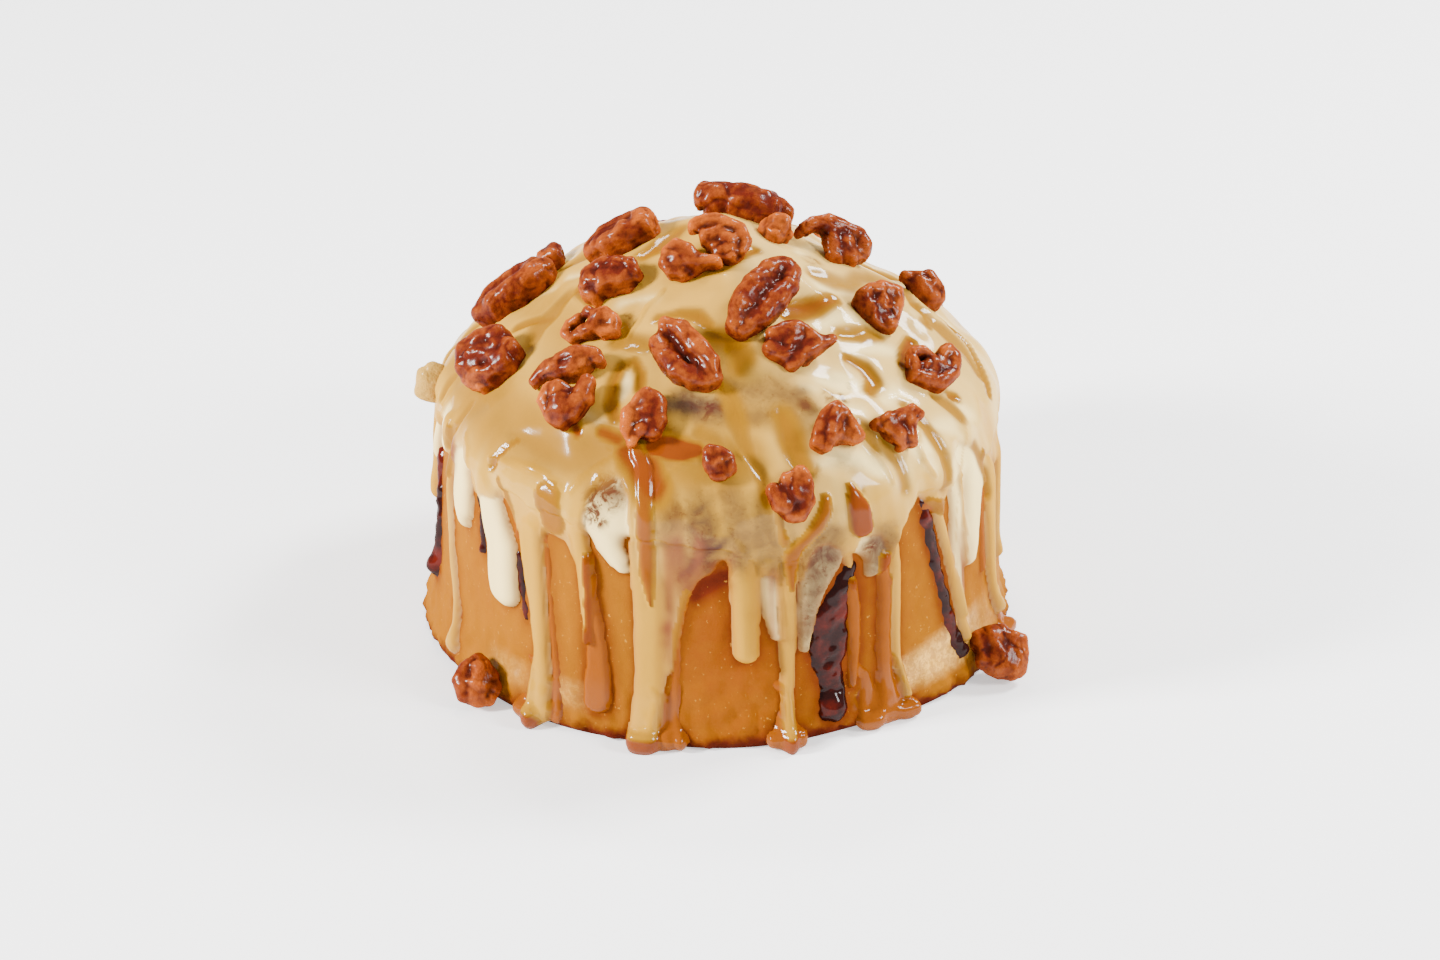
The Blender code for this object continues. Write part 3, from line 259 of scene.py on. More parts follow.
# Streaks on the crown where the tan glaze is thin: a line as above, how much glaze is gone, and
# the depth of caramel that fills it.
AMBER_STREAKS = (
    (((-77.3, 32.5, 2.6), (-73.9, 36.5, 3.9), (-71.8, 40.7, 3.7), (-66.8, 44.7, 2.0)), 0.95, 0.34),
    (((-72.5, 37.8, 1.7), (-76.6, 41.2, 1.5), (-79.7, 44.7, 1.1)), 0.9, 0.5),
    (((-98, 62.5, 1.8), (-95, 65.7, 1.8)), 0.8, 0.3),
    (((-84.7, 61.1, 1.5), (-84.4, 64.1, 2.2), (-83.9, 66.2, 1.5)), 0.9, 0.3),
    (((-97, 60.5, 1.4), (-98.5, 57, 1.4), (-98, 53, 1.6), (-95.5, 49.1, 1.6), (-92.3, 44.5, 1.2)),
     0.7, 0.35),
    (((-68.1, 60.9, 1.3), (-68.2, 66.1, 1.7), (-71.1, 71.7, 1.3)), 0.8, 0.3),
    (((-48, 60.4, 2.2), (-40.5, 59.9, 5.4), (-32, 59.6, 7.4), (-25, 57.8, 6.6), (-21.5, 55.6, 3.4)),
     0.85, 0.26),
    (((-45.9, 61.1, 0.8), (-48, 64.5, 0.8), (-49.3, 67.1, 0.8)), 0.9, 0.6),
    (((-26.4, 54.3, 1.6), (-22.3, 55, 2.0)), 0.9, 1.0),
    (((-19.5, 57.4, 2.8), (-15, 59.8, 5.4), (-12.4, 63.4, 5)), 0.95, 1.2),
    (((-75.3, 29.8, 1.5), (-66.1, 29.3, 1.5), (-61, 29.3, 1.1)), 0.8, 0.6),
    (((-38.5, 31.5, 2.2), (-35, 34.5, 3.2), (-29.5, 34.2, 3.0), (-23.7, 33.6, 1.8)), 0.9, 0.36),
    (((-24.5, 50.6, 1.7), (-27.7, 47.6, 1.7), (-29.7, 43.2, 1.4), (-29.4, 39.8, 1.0), (-26, 38.1, 0.8),
      (-22.4, 40.1, 0.8), (-21, 43.6, 1.0)), 0.85, 0.6),
    (((-33.7, 54.4, 1.1), (-32, 55.5, 1.1)), 0.8, 1.3),
    (((-21.3, 16.1, 0.8), (-9.3, 15, 1.0), (4, 13.8, 1.4), (26.1, 11.4, 1.4), (49.8, 10.9, 0.8)),
     0.7, 0.7),
    (((-65.1, 15.1, 2.2), (-67.5, 11.3, 3.4), (-83.3, 6.4, 2.4)), 0.9, 0.6),
    (((0.8, 31.2, 3), (7.6, 33, 4.6), (8.9, 36, 4.0), (7.6, 38.7, 2.0)), 0.95, 0.5),
    (((0.3, 41.8, 1.1), (2.6, 43, 1.4), (4.6, 44.8, 1.9), (5.4, 47.5, 2.2), (5.8, 50.6, 2.8),
      (6.8, 54, 2.4), (8.4, 57.7, 1.7), (10, 61.4, 1.4), (10.9, 65.7, 1.1)), 0.95, 0.36),
    (((-24.7, 27.0, 1.0), (-15.4, 25.2, 1.2), (-6.8, 25.8, 1.5), (-1.5, 28.4, 1.3)), 0.7, 0.5),
    (((69.5, 22.4, 2.0), (75, 26.4, 3.8), (80.5, 29.6, 3.2), (90, 31.6, 2.6), (95, 34.5, 2.6),
      (97, 38.5, 2.2), (98, 42, 1.4)), 0.9, 0.22),
    (((35.4, 26.8, 1.7), (43, 27.4, 2.8), (51.2, 27.9, 2.8), (61.7, 28.9, 1.9)), 0.95, 0.75),
    (((17.5, 49.3, 2.4), (18.2, 53.9, 4.0), (18.8, 58.1, 2.8), (19.5, 60.9, 1.7)), 0.9, 0.5),
    (((-13, 55, 2.8), (-10.2, 55.1, 3.2), (-7, 55.7, 2.4), (-3.6, 55.4, 1.1)), 0.95, 2.4),
    (((-9.8, 58.1, 2.2), (-6.4, 56.9, 2.6), (-2.5, 56.2, 3.4), (1.4, 56.9, 3.6), (5, 56.2, 2.4)),
     0.85, 0.3),
    (((-3.1, 52.6, 2.2), (0.4, 53.9, 2.6), (2.5, 56.5, 1.7)), 0.9, 0.3),
    (((98.1, 42.1, 1.3), (91.1, 44.6, 1.1), (88.4, 48.3, 1.7), (86.2, 50.4, 2.6), (85.1, 53, 1.9),
      (84.8, 56.2, 1.1)), 0.9, 0.3),
    (((92.2, 53.5, 0.8), (90.1, 58.1, 0.8), (85.7, 61.8, 0.8), (80.6, 65.7, 0.8)), 0.7, 0.4),
    (((92.4, 44.7, 0.8), (88.5, 46.8, 0.8), (83.5, 48.2, 0.8)), 0.7, 0.4),
    (((51.5, 35.6, 2.0), (58, 37.9, 3.0), (64, 40.1, 1.7)), 0.95, 0.36),
    (((46.1, 40.6, 1.1), (49.1, 44.1, 1.7), (48.5, 47.5, 2.0), (44.2, 49.0, 1.3)), 0.9, 0.6),
    (((74.4, 46.3, 1.5), (67.8, 46.3, 1.3), (61.9, 47.8, 0.9)), 0.8, 1.0),
    (((61.8, 56.4, 1.1), (63.6, 59.3, 1.9), (64.8, 63.2, 1.5)), 0.8, 0.3),
    (((67.3, 58.9, 1.1), (68.7, 59.9, 0.9)), 0.9, 0.7),
    (((51.5, 54.6, 1.3), (53.3, 60.5, 2.2), (53.7, 66.5, 2.0), (53.1, 69.5, 1.7), (51.8, 71.8, 1.3)),
     0.9, 0.32),
    (((65.1, 69.2, 1.1), (66.5, 72.8, 1.5), (69, 77.2, 1.5), (69.6, 82, 1.1)), 0.9, 0.45),
    (((35.8, 54.7, 1.9), (36.4, 57.1, 2.4), (37, 59.7, 1.5)), 0.9, 0.28),
    (((39, 59.2, 2.1), (39.9, 61.9, 2.1), (40.4, 65.1, 1.9), (40.1, 68.2, 1.5)), 0.7, 0.22),
    (((-88, 59, 8), (-70, 58, 12), (-52, 59, 12), (-38, 59.5, 10), (-26, 60, 7)), 0.35, 0.15),
    (((-17, 55, 5), (-6, 57.5, 9), (6, 57, 8)), 0.2, 0.16),
    (((62, 30, 6), (78, 38, 8), (86, 50, 8), (80, 62, 6)), 0.3, 0.03),
    (((-100, 45, 6), (-84, 38, 8), (-66, 36, 8), (-52, 44, 7), (-42, 50, 7)), 0.1, 0.05),
    (((7.6, 79, 3), (8, 88, 3.4), (8, 96, 3)), 0.3, 0.07),
    (((84.5, 47, 1.6), (88, 51.3, 2.8), (86.1, 55.8, 2.8), (82.9, 62.1, 1.7)), 0.9, 0.3),
    (((39.1, 25.1, 1.1), (48.6, 26.9, 2.4), (59.3, 28.7, 1.1)), 0.95, 0.9),
)
# Streaks where the white shows through: a line as above and how much glaze is gone.
WHITE_STREAKS = (
    (((-92.6, 38.3, 2.6), (-92.2, 35.5, 2.6)), 0.9),
    (((-94.7, 31.8, 1.9), (-90.6, 28.9, 1.9)), 0.9),
    (((-47, 25.9, 2.6), (-39.4, 23.7, 3.2), (-32.2, 22.1, 1.9)), 0.95),
    (((-31.9, 52, 3), (-27.1, 52.8, 2.6)), 0.9),
    (((-26.9, 40.9, 1.9), (-25.9, 43.5, 2.8), (-25.3, 46.2, 2.2)), 1.0),
    (((89.5, 17.7, 2.8), (104.9, 22.4, 2.2)), 0.9),
    (((62.2, 21.9, 1.5), (64.8, 25.3, 3), (72.7, 28.5, 3.4), (80.2, 31, 2.2)), 0.95),
    (((47.5, 31.7, 2.6), (55.4, 32, 4.3), (61.3, 34.3, 2.6)), 1.0),
    (((49.1, 39.3, 3.4), (57.7, 41.2, 4.7), (63.5, 44.4, 3)), 1.0),
    (((32.1, 43.3, 3), (37.6, 45, 5.2), (41.7, 47.3, 3.4)), 1.0),
    (((46.7, 51.9, 2.6), (52.8, 51.5, 3.9), (55.6, 54, 2.6)), 0.95),
    (((34.8, 50.4, 2.6), (38.4, 52.2, 3)), 0.9),
    (((85.6, 44, 1.9), (81.6, 46.5, 1.7)), 0.9),
    (((56, 61, 2.6), (60.2, 63.6, 3.9), (61.9, 66, 2.2)), 0.9),
    (((67.9, 62, 2.2), (68.9, 64, 2.6)), 0.9),
    (((22.9, 60.3, 3), (27.8, 59.7, 4.3), (32.2, 61.5, 4.7), (35.3, 64.2, 3)), 1.0),
    (((45, 60.9, 2.6), (46.7, 63.5, 3.4), (50.4, 63.4, 2.2), (51.6, 61.2, 1.5)), 1.0),
    (((47.5, 65.5, 2.4), (49.6, 67.6, 1.9)), 0.9),
    (((59.1, 66.6, 1.9), (56.2, 69.4, 1.9), (55.5, 73.3, 1.7), (54.7, 78.3, 1.5)), 0.95),
    (((63.3, 72.4, 1.5), (60.6, 77.7, 1.7), (58.7, 83.4, 1.5), (56.9, 88.8, 1.3)), 0.95),
    (((20, 57.2, 2.2), (21.7, 60.5, 2.2)), 0.9),
    (((25.6, 44, 1.5), (29, 45.2, 1.5)), 0.8),
    (((-10.8, 46.9, 3.4), (-4.8, 45.9, 4.7), (1.8, 46.4, 3.4)), 0.95),
    (((-6.5, 43, 1.3), (-0.2, 42.4, 1.5)), 0.7),
    (((-63.1, 68.8, 1.3), (-62.1, 73, 1.3)), 0.9),
    (((-68.5, 46.6, 1.5), (-62.9, 47.4, 1.5)), 0.7),
)
# Raised strands of glaze: a line as above and its height.
RIDGES = (
    (((-30.3, 20.3, 1.5), (-31.5, 22.6, 1.5), (-34, 24.9, 1.3), (-32.7, 29.5, 1.1), (-33, 32.6, 0.9)),
     0.4),
    (((-32.1, 36, 1.1), (-28.1, 34.8, 1.1), (-22.8, 33.5, 1.1)), 0.45),
    (((-50.3, 66, 1.5), (-45, 65.2, 1.7), (-39.3, 64.5, 1.7), (-35.3, 64.9, 1.7), (-31.3, 66.1, 1.5)),
     0.7),
    (((-61.3, 65.5, 1.5), (-57.5, 67.1, 1.7), (-56.6, 70, 1.5)), 0.45),
    (((78.8, 14.1, 1.7), (93.9, 18.9, 1.9)), 0.4),
    (((99, 43, 0.9), (92, 48, 0.9), (92.9, 53.6, 0.9), (91.9, 58.5, 0.9), (87, 62, 0.9),
      (81.1, 66, 0.9)), 0.4),
    (((93.4, 45.7, 0.6), (84.7, 48.3, 0.6), (82.3, 50.8, 0.6)), 0.3),
    (((-96, 55.7, 0.6), (-96.5, 49.5, 0.6), (-93.6, 43.6, 0.6)), 0.35),
    (((-97, 59.3, 0.6), (-91.3, 52.7, 0.9), (-89.2, 48.5, 0.6)), 0.3),
    (((-12.7, 25.7, 0.5), (-5.6, 25.9, 0.5), (-1, 28.2, 0.5)), 0.25),
    (((2.6, 42.1, 0.6), (5.7, 44.8, 0.6), (7, 48.6, 0.6), (6.9, 52.7, 0.6)), 0.3),
    (((33.8, 56.4, 1.1), (35.2, 59, 1.3), (36.6, 61.8, 1.3), (37.2, 64.4, 1.3), (37.4, 66.8, 1.1)),
     0.5),
    (((51, 60.4, 1.3), (47.6, 62.5, 1.3), (46.7, 65.2, 1.5), (48.7, 68.7, 1.3)), 0.5),
    (((-26.6, 48.1, 0.5), (-29, 46, 0.5), (-30.2, 43.2, 0.5), (-30, 40.3, 0.5), (-27.5, 38.6, 0.5),
      (-23.2, 39.3, 0.5), (-20.3, 43.1, 0.5)), 0.3),
    (((65, 63.7, 0.8), (62.4, 67.9, 0.6), (58.5, 72.5, 0.6), (56, 78.9, 0.6), (54.8, 86, 0.5)), 0.5),
    (((-35.1, 78.7, 0.6), (-32.5, 78.5, 0.6), (-29.8, 78.4, 0.6), (-28, 79.7, 0.6)), 0.6),
    (((-19.4, 56.6, 1.1), (-22.2, 58.7, 1.1), (-24.9, 61.2, 1.3), (-27.5, 63.9, 1.3),
      (-28.9, 66.6, 1.3)), 0.5),
    (((-15.2, 61.3, 0.6), (-15.2, 64.5, 0.6), (-14.7, 68.1, 0.6)), 0.3),
    (((-2.9, 57, 0.9), (-6.7, 58.3, 1.1), (-9.5, 60.1, 1.1), (-10.8, 62.7, 1.1), (-11.2, 66.1, 0.9)),
     0.5),
    (((4.9, 55, 0.6), (6.8, 57.8, 0.6), (9, 61.2, 0.9), (10.4, 64.3, 0.6)), 0.4),
)
# Smoky patches where cinnamon sugar shows grey through the icing, and painted shade under and
# between the pecans on the crown and in the dark gap by the front hem: a line as above and how strong.
SMOKE_AND_SHADE_PATCHES = (
    (((-12, 46.5, 4), (-6, 46.5, 6.6), (1, 48, 6.6)), 1.05),
    (((-13.5, 51, 3), (-10, 53, 3.4)), 1.3),
    (((2.5, 41.5, 4), (10, 44, 6.6), (17, 44.5, 7), (22, 46, 6), (25, 49, 4)), 0.8),
    (((7, 49.5, 3.4), (14, 49, 4.4), (21, 49.5, 4.4)), 0.85),
    (((-34.4, 52.8, 2.6), (-27.2, 53.7, 3.0)), 0.5),
    (((-9, 65, 4), (-8, 70.5, 5.4), (-6.6, 78, 5), (-5, 82, 3.4)), 0.85),
    (((-3, 63, 4), (-2, 70, 6.6), (-1.4, 77, 6.6), (1, 81.5, 4)), 1.05),
    (((2.6, 61, 3.6), (4.4, 67, 6), (4, 77, 6)), 0.85),
    (((9, 67, 4), (10, 73, 6.6), (11, 79, 5.4)), 0.8),
    (((15, 71, 2.6), (15.6, 76, 3.6)), 0.6),
    (((-8, 35, 4), (1, 36, 5), (8, 40, 5)), 0.45),
    (((-6, 79.6, 2.6), (-4, 78, 3.0), (-1.2, 75.2, 3.2), (1.9, 72.4, 2.6)), 1.5),
    (((-24.6, 66.5, 1.8), (-22.3, 65.0, 3.4), (-18.5, 64.8, 2.6)), 0.8),
    (((20.4, 48.5, 4.0), (24.9, 50.6, 4.6)), 0.4),
    (((-16.7, 15.4, 2.6), (-5.4, 17.3, 2.6)), 0.3),
    (((21.3, 74, 8.5), (21, 78.7, 8.8), (19.5, 83.6, 7.0), (18, 88.9, 5.4), (17.3, 98, 3.2)), 0.8),
    (((33.9, 76.5, 6.4), (33.5, 80.3, 6.8), (32, 83.2, 4.6)), 0.85),
    (((27.0, 60.5, 2.2), (29.5, 62.5, 2.6)), 0.4),
    (((150, 66, 5), (158, 69, 6)), 0.6),
    (((196, 52, 4), (206, 56, 5)), 0.5),
    (((246, 60, 5), (252, 68, 6), (254, 75, 4)), 0.7),
)
# Cinnamon from the dough that swirled up into the icing: azimuth, fall, radius and strength. The one
# at azimuth 0.4 and fall 79.2 is a painted shadow in the notch under the front hem.
SWIRLS_AND_SHADE = (
    (-10, 54.8, 2.4, 0.9), (-11.5, 52.4, 1.8, 0.6),
    (-21.6, 65.6, 3.6, 1.7), (-22.8, 69.4, 2.4, 1.5), (-7.1, 67, 2.2, 0.6), (-2.7, 72.9, 2.7, 0.8),
    (0.4, 79.2, 2.5, 1.0), (-0.8, 47.2, 2.5, 0.9), (24, 48.1, 1.7, 0.9), (-38.7, 28.5, 1.2, 1.0),
    (39.4, 46.7, 1, 1.0), (34.7, 48.2, 1.2, 1.0), (81.9, 20.9, 2, 0.9), (20.6, 76.6, 2.7, 0.55),
    (17.8, 79.3, 3, 0.45), (30.9, 78.1, 2.2, 0.8), (-33.3, 54.5, 1, 0.9), (20.8, 61.3, 1.2, 0.6),
    (30.2, 66.3, 1, 0.7), (6.9, 47.6, 1.5, 0.5), (14.6, 48.2, 1.5, 0.5), (-6, 46.3, 2.2, 0.4),
    (-8.8, 60.8, 0.7, 0.2), (4.4, 75.9, 1.7, 0.4), (-34.6, 53.2, 1.4, 0.8), (-22.4, 56.1, 1.4, 0.9),
    (31.6, 47.6, 1.4, 0.9), (14.2, 47.4, 1.4, 0.8), (2.0, 47.6, 1.6, 1.0), (-1.2, 47.0, 1.6, 0.8),
    (150, 66.8, 5.0, 0.6), (200, 57.2, 4.0, 0.6), (252, 70.8, 5.0, 0.6), (105, 59.2, 4.0, 0.5),
)
# Thin webs between runs, where the crust shows through pink: a line as above and how strong.
WEBS = (
    (((-7, 76.5, 11), (-6, 83, 9), (-6.8, 90, 6), (-8, 99, 3)), 1),
    (((10.4, 82, 3.4), (11.2, 94, 2.6)), 1),
    (((54.5, 80, 3.4), (56.4, 92, 3.0), (57.8, 104, 2.2)), 1),
    (((-66.5, 70, 3), (-65.5, 80, 2)), 1),
    (((140, 76, 6), (141, 86, 3)), 1),
    (((230, 78, 6), (231, 90, 3)), 1),
)


def back_runs():
    """Runs round the unseen back, like those in front but drawn by a seeded rule."""
    draw = random.Random(BACK_RUN_SEED)
    for azimuth in BACK_RUN_AZIMUTHS:
        start = azimuth + draw.uniform(-2, 2)
        end = start + draw.uniform(-2, 2)
        fall = draw.uniform(85, 115)
        width = draw.uniform(4.5, 9.0)
        narrow = width * draw.uniform(0.5, 0.85)
        depth = draw.uniform(1.4, 2.0)
        yield ((start, 69, width), (start, 75, width), (end, fall - narrow / 2, narrow)), depth


def back_streaks():
    """Streaks on the unseen side of the crown: amber ones and white ones in turn, flowing down."""
    draw = random.Random(BACK_RUN_SEED)
    for number in range(BACK_STREAKS):
        turn = 104 + 150 * (number * 0.618 % 1) + draw.uniform(-4, 4)
        fall = draw.uniform(16, 58)
        reach = draw.uniform(5, 14)
        width = draw.uniform(1.5, 5.0)
        drift = draw.uniform(-9, 9)
        yield ((turn, fall, width * 0.6), (turn + drift / 2, fall + reach / 2, width),
               (turn + drift, fall + reach, width * 0.5))


white_runs = list(WHITE_RUNS)
tan_runs = list(TAN_RUNS)
amber_streaks = list(AMBER_STREAKS)
white_streaks = list(WHITE_STREAKS)
for number, line in enumerate(back_streaks()):
    if number % 2:
        amber_streaks.append((line, 0.9, 0.3 + 0.4 * (number % 3) / 2))
    else:
        white_streaks.append((line, 0.95))
for number, run in enumerate(back_runs()):
    (white_runs if number % 3 == 1 else tan_runs).append(run)

# Bread mesh and crust: golden round the sides and browner in front, partly uneven baking and partly
# painted shade on the front, with a burnt rim at the foot, pores and pale flecks in the crust, the
# flecks partly painted glints, a pale sugared band low on the right that is partly a painted
# highlight, stains where the syrup and caramel soaked in, and painted shade round the icing runs
# and in the notch under the front hem.
MM = 0.001
WAVES = 14


def unevenness(points, wavelength, seed):
    """Smooth random relief, mostly from -1 to 1: waves of about one length in seeded directions."""
    draw = np.random.default_rng(seed)
    ways = draw.normal(size=(WAVES, 3))
    ways *= (draw.uniform(0.7, 1.4, WAVES) / np.linalg.norm(ways, axis=1))[:, None]
    phases = draw.uniform(0, 2 * math.pi, WAVES)
    total = np.cos(points @ (ways.T * 2 * math.pi / wavelength) + phases).sum(axis=-1)
    return total / math.sqrt(WAVES / 2) / 1.4


def depth_inside(points, line):
    """How far each point lies inside a run: its half width less the distance to its middle line."""
    middle = skin(np.array([p[0] for p in line], float), np.array([p[1] for p in line], float))
    widths = np.array([p[2] for p in line], float) / 2
    best = np.full(len(points), -99.0)
    for start, end, thick, thin in zip(middle, middle[1:], widths, widths[1:]):
        way = end - start
        along = np.clip((points - start) @ way / max(way @ way, 1e-9), 0, 1)
        away = np.linalg.norm(points - start - along[:, None] * way, axis=1)
        best = np.maximum(best, thick + (thin - thick) * along - away)
    return best


def share_inside(inside, soft):
    """From 0 well outside a run to 1 well inside it, a half at its edge and softly between."""
    return 1 / (1 + np.exp(-np.clip(inside, -8, 8) / soft))


def strongest(points, patches, wander, soft):
    """How strong the patches along these lines are at each point, by the strongest one there."""
    strength = np.zeros(len(points))
    for line, most in patches:
        share = share_inside(depth_inside(points, line) + wander, soft)
        strength = np.maximum(strength, most * share)
    return strength


def ramp(value, start, length):
    """0 up to the start, 1 past this length further on, and straight between."""
    return np.clip((value - start) / length, 0, 1)


def round_bun(azimuth, stations):
    """A value that is given at some azimuths, at any azimuth between them."""
    places, values = zip(*stations)
    return np.interp((azimuth + 180) % 360 - 180, places, values)


def add_piece(name, points, faces, paint, slot_name, **amounts):
    """A mesh piece from points in millimetres, with the amounts named at each point. It leaves out
    the points that no face uses."""
    used = np.unique(np.concatenate([np.array(face) for face in faces]))
    number = np.full(len(points), -1)
    number[used] = np.arange(len(used))
    mesh = bpy.data.meshes.new(name)
    mesh.from_pydata((points[used] * MM).tolist(), [], [number[list(face)].tolist() for face in faces])
    mesh.update()
    mesh.shade_smooth()
    for title, values in amounts.items():
        layer = mesh.attributes.new(title, "FLOAT", "POINT")
        layer.data.foreach_set("value", values[used].astype(np.float32))
    mesh.materials.append(paint)
    piece = bpy.data.objects.new(name, mesh)
    bpy.context.collection.objects.link(piece)
    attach(piece, "root")
    return piece


class Wire:
    """A socket among a material's nodes; arithmetic on it adds the Math nodes that work it out."""

    def __init__(self, tree, socket=None):
        self.tree = tree
        self.socket = socket

    def add(self, kind, settings=None, sockets=None, output=0):
        node = self.tree.nodes.new(kind)
        for title, value in (settings or {}).items():
            setattr(node, title, value)
        for title, value in (sockets or {}).items():
            if isinstance(value, Wire):
                self.tree.links.new(value.socket, node.inputs[title])
            else:
                node.inputs[title].default_value = value
        return Wire(self.tree, node.outputs[output])

    def math(self, operation, *values):
        return self.add("ShaderNodeMath", {"operation": operation}, dict(enumerate(values)))

    def __add__(self, other):
        return self.math("ADD", self, other)

    def __mul__(self, other):
        return self.math("MULTIPLY", self, other)

    def __sub__(self, other):
        return self.math("SUBTRACT", self, other)

    def __rsub__(self, other):
        return self.math("SUBTRACT", other, self)

    __radd__ = __add__
    __rmul__ = __mul__

    def clamp(self):
        return self.math("MINIMUM", self.math("MAXIMUM", self, 0.0), 1.0)

    def fade(self, low, high):
        """0 below low and 1 above high, smooth between."""
        return self.add("ShaderNodeMapRange", {"interpolation_type": "SMOOTHSTEP"},
                        {"Value": self, "From Min": low, "From Max": high})

    def cover(self, depth):
        """How much a see-through layer hides: 0 where it has no thickness, near 1 past its depth."""
        return 1.0 - self.math("EXPONENT", self * (-1.0 / depth))

    def blend(self, factor, under, over):
        return self.add("ShaderNodeMix", {"data_type": "RGBA"}, {0: factor, 6: under, 7: over}, 2)

    def amount(self, title):
        return self.add("ShaderNodeAttribute", {"attribute_name": title}, None, "Fac")

    def place(self):
        return self.add("ShaderNodeTexCoord", None, None, "Object")

    def noise(self, grain, detail=3.0, roughness=0.55, distortion=0.0):
        """Noise whose grains are about this many metres across."""
        return self.add("ShaderNodeTexNoise", None, {
            "Vector": self.place(), "Scale": 1 / grain, "Detail": detail,
            "Roughness": roughness, "Distortion": distortion,
        })

    def bump(self, height, depth, strength):
        return self.add("ShaderNodeBump", None,
                        {"Height": height, "Distance": depth, "Strength": strength})


def colour(red, green, blue):
    """A colour as seen on a screen, 0 to 255, in the light values that a shader takes."""
    return tuple(((c / 255 + 0.055) / 1.055) ** 2.4 for c in (red, green, blue)) + (1.0,)


def new_paint(name, **constants):
    """A material with its shader's constant values set, the shader, and a wire to start from."""
    paint = bpy.data.materials.new(name)
    paint.use_nodes = True
    shader = paint.node_tree.nodes["Principled BSDF"]
    for title, value in constants.items():
        shader.inputs[title.replace("_", " ")].default_value = value
    return paint, shader, Wire(paint.node_tree)


def connect(shader, **links):
    for title, wire in links.items():
        wire.tree.links.new(wire.socket, shader.inputs[title.replace("_", " ")])


BREAD_COLUMNS = 480
BREAD_ROWS = 116
# Runs of dark syrup: a line as above and its depth.
SYRUP_RUNS = (
    (((-84, 80, 3.4), (-81.5, 85.7, 2.6), (-78.6, 92, 3.4), (-77.8, 98, 3.0), (-78, 103, 5.0)), 1.6),
    (((-54.4, 74, 1.2), (-53.8, 80, 1.8), (-53.1, 87, 1.4)), 0.7),
    (((-42.2, 83, 1.6), (-41.2, 90, 2.2), (-39.8, 97, 1.2)), 0.7),
    (((26.8, 82.5, 3.2), (25.0, 87, 5), (22.9, 92.5, 8), (22.2, 98.5, 8.6), (22.4, 103.8, 6.2),
      (22.9, 107.5, 4.8), (22.9, 112, 6.2)), 1.5),
    (((46.4, 74, 2.6), (48.2, 83.1, 2.8), (49.9, 90.9, 2.3), (51.4, 98.1, 2.6), (54.4, 110, 3.6)), 1.0),
    (((118, 80, 6.0), (119, 106, 4.0)), 1.3),
    (((188, 76, 4.6), (192, 109, 5.0)), 1.3),
    (((236, 82, 6.4), (234, 111, 4.6)), 1.4),
)
# Where caramel soaked into the crust: a line as above and its strength. The last, of strength 2.2,
# is a painted shadow in the notch under the front hem.
SOAKED_AND_SHADOW = (
    (((27.5, 84, 7), (28.5, 95, 7), (28, 108, 5)), 0.7),
    (((28.5, 83, 6), (29.5, 90, 5)), 1.0),
    (((14.5, 103, 3), (15.5, 114, 4)), 0.6),
    (((-21.5, 96, 4), (-21, 114, 5)), 0.5),
    (((35, 90, 3), (34.5, 112, 5)), 0.6),
    (((48, 80, 4), (53, 108, 5)), 0.5),
    (((-9, 96, 4), (-7, 114, 5)), 0.45),
    (((-4, 85, 2.4), (-1.5, 82.4, 4), (3, 80.4, 3)), 2.2),
)
# How brown the wall is by azimuth, partly uneven baking and partly painted shade on the front;
# how much sugar lies low on it, its pale colour partly a painted highlight; and the fall where that
# starts.
BAKE_AND_SHADE = ((-180, 0.4), (-75, 0.12), (-50, 0.08), (-34, -0.1), (-26, -0.2), (-16, 0.0), (-9, 0.55),
        (0, 0.95), (12, 0.75), (25, 0.75), (44, 0.15), (60, 0.15), (180, 0.4))
SUGAR_SHEEN = ((-180, 0), (-52, 0), (-47, 0.3), (-42, 0.3), (-36, 0), (-32, 0.35), (-28, 0.35), (-24, 0),
         (36, 0), (40, 1), (56, 1), (64, 0.2), (110, 0), (135, 0.4), (180, 0))
SUGAR_SHEEN_TOP = ((36, 106), (54, 102))
SUGAR_SHEEN_FOOT = 114
BURNT_HEIGHT = 5.6
GOLDEN_CRUST = colour(138, 83, 0)
BROWN_CRUST = colour(124, 62, 6)
DEEP_CRUST = colour(92, 32, 10)
BURNT_AND_SHADOW_CRUST = colour(76, 24, 10)
PALE_FLECK_GLINT = colour(190, 136, 48)
SUGAR_SHEEN_CRUST = colour(240, 184, 84)

azimuths = np.linspace(-180, 180, BREAD_COLUMNS, endpoint=False)
falls = np.linspace(0, WHOLE_FALL, BREAD_ROWS + 1)[1:]
turn_grid, fall_grid = (grid.ravel() for grid in np.meshgrid(azimuths, falls))
crust_points = skin(turn_grid, fall_grid)
craggy = 0.10 * unevenness(crust_points, 5, seed=21) + 0.05 * unevenness(crust_points, 2.2, seed=22)
craggy = craggy * (1 + 2.5 * ramp(fall_grid, 100, 14))
stain_and_shade = strongest(crust_points, SOAKED_AND_SHADOW, 0, 1.2)
for line, depth in list(SYRUP_RUNS) + caramel_runs:
    beyond = np.minimum(0, depth_inside(crust_points, line) + 0.6)
    stain_and_shade = np.maximum(stain_and_shade, np.exp(beyond / 1.6) * min(1, depth))
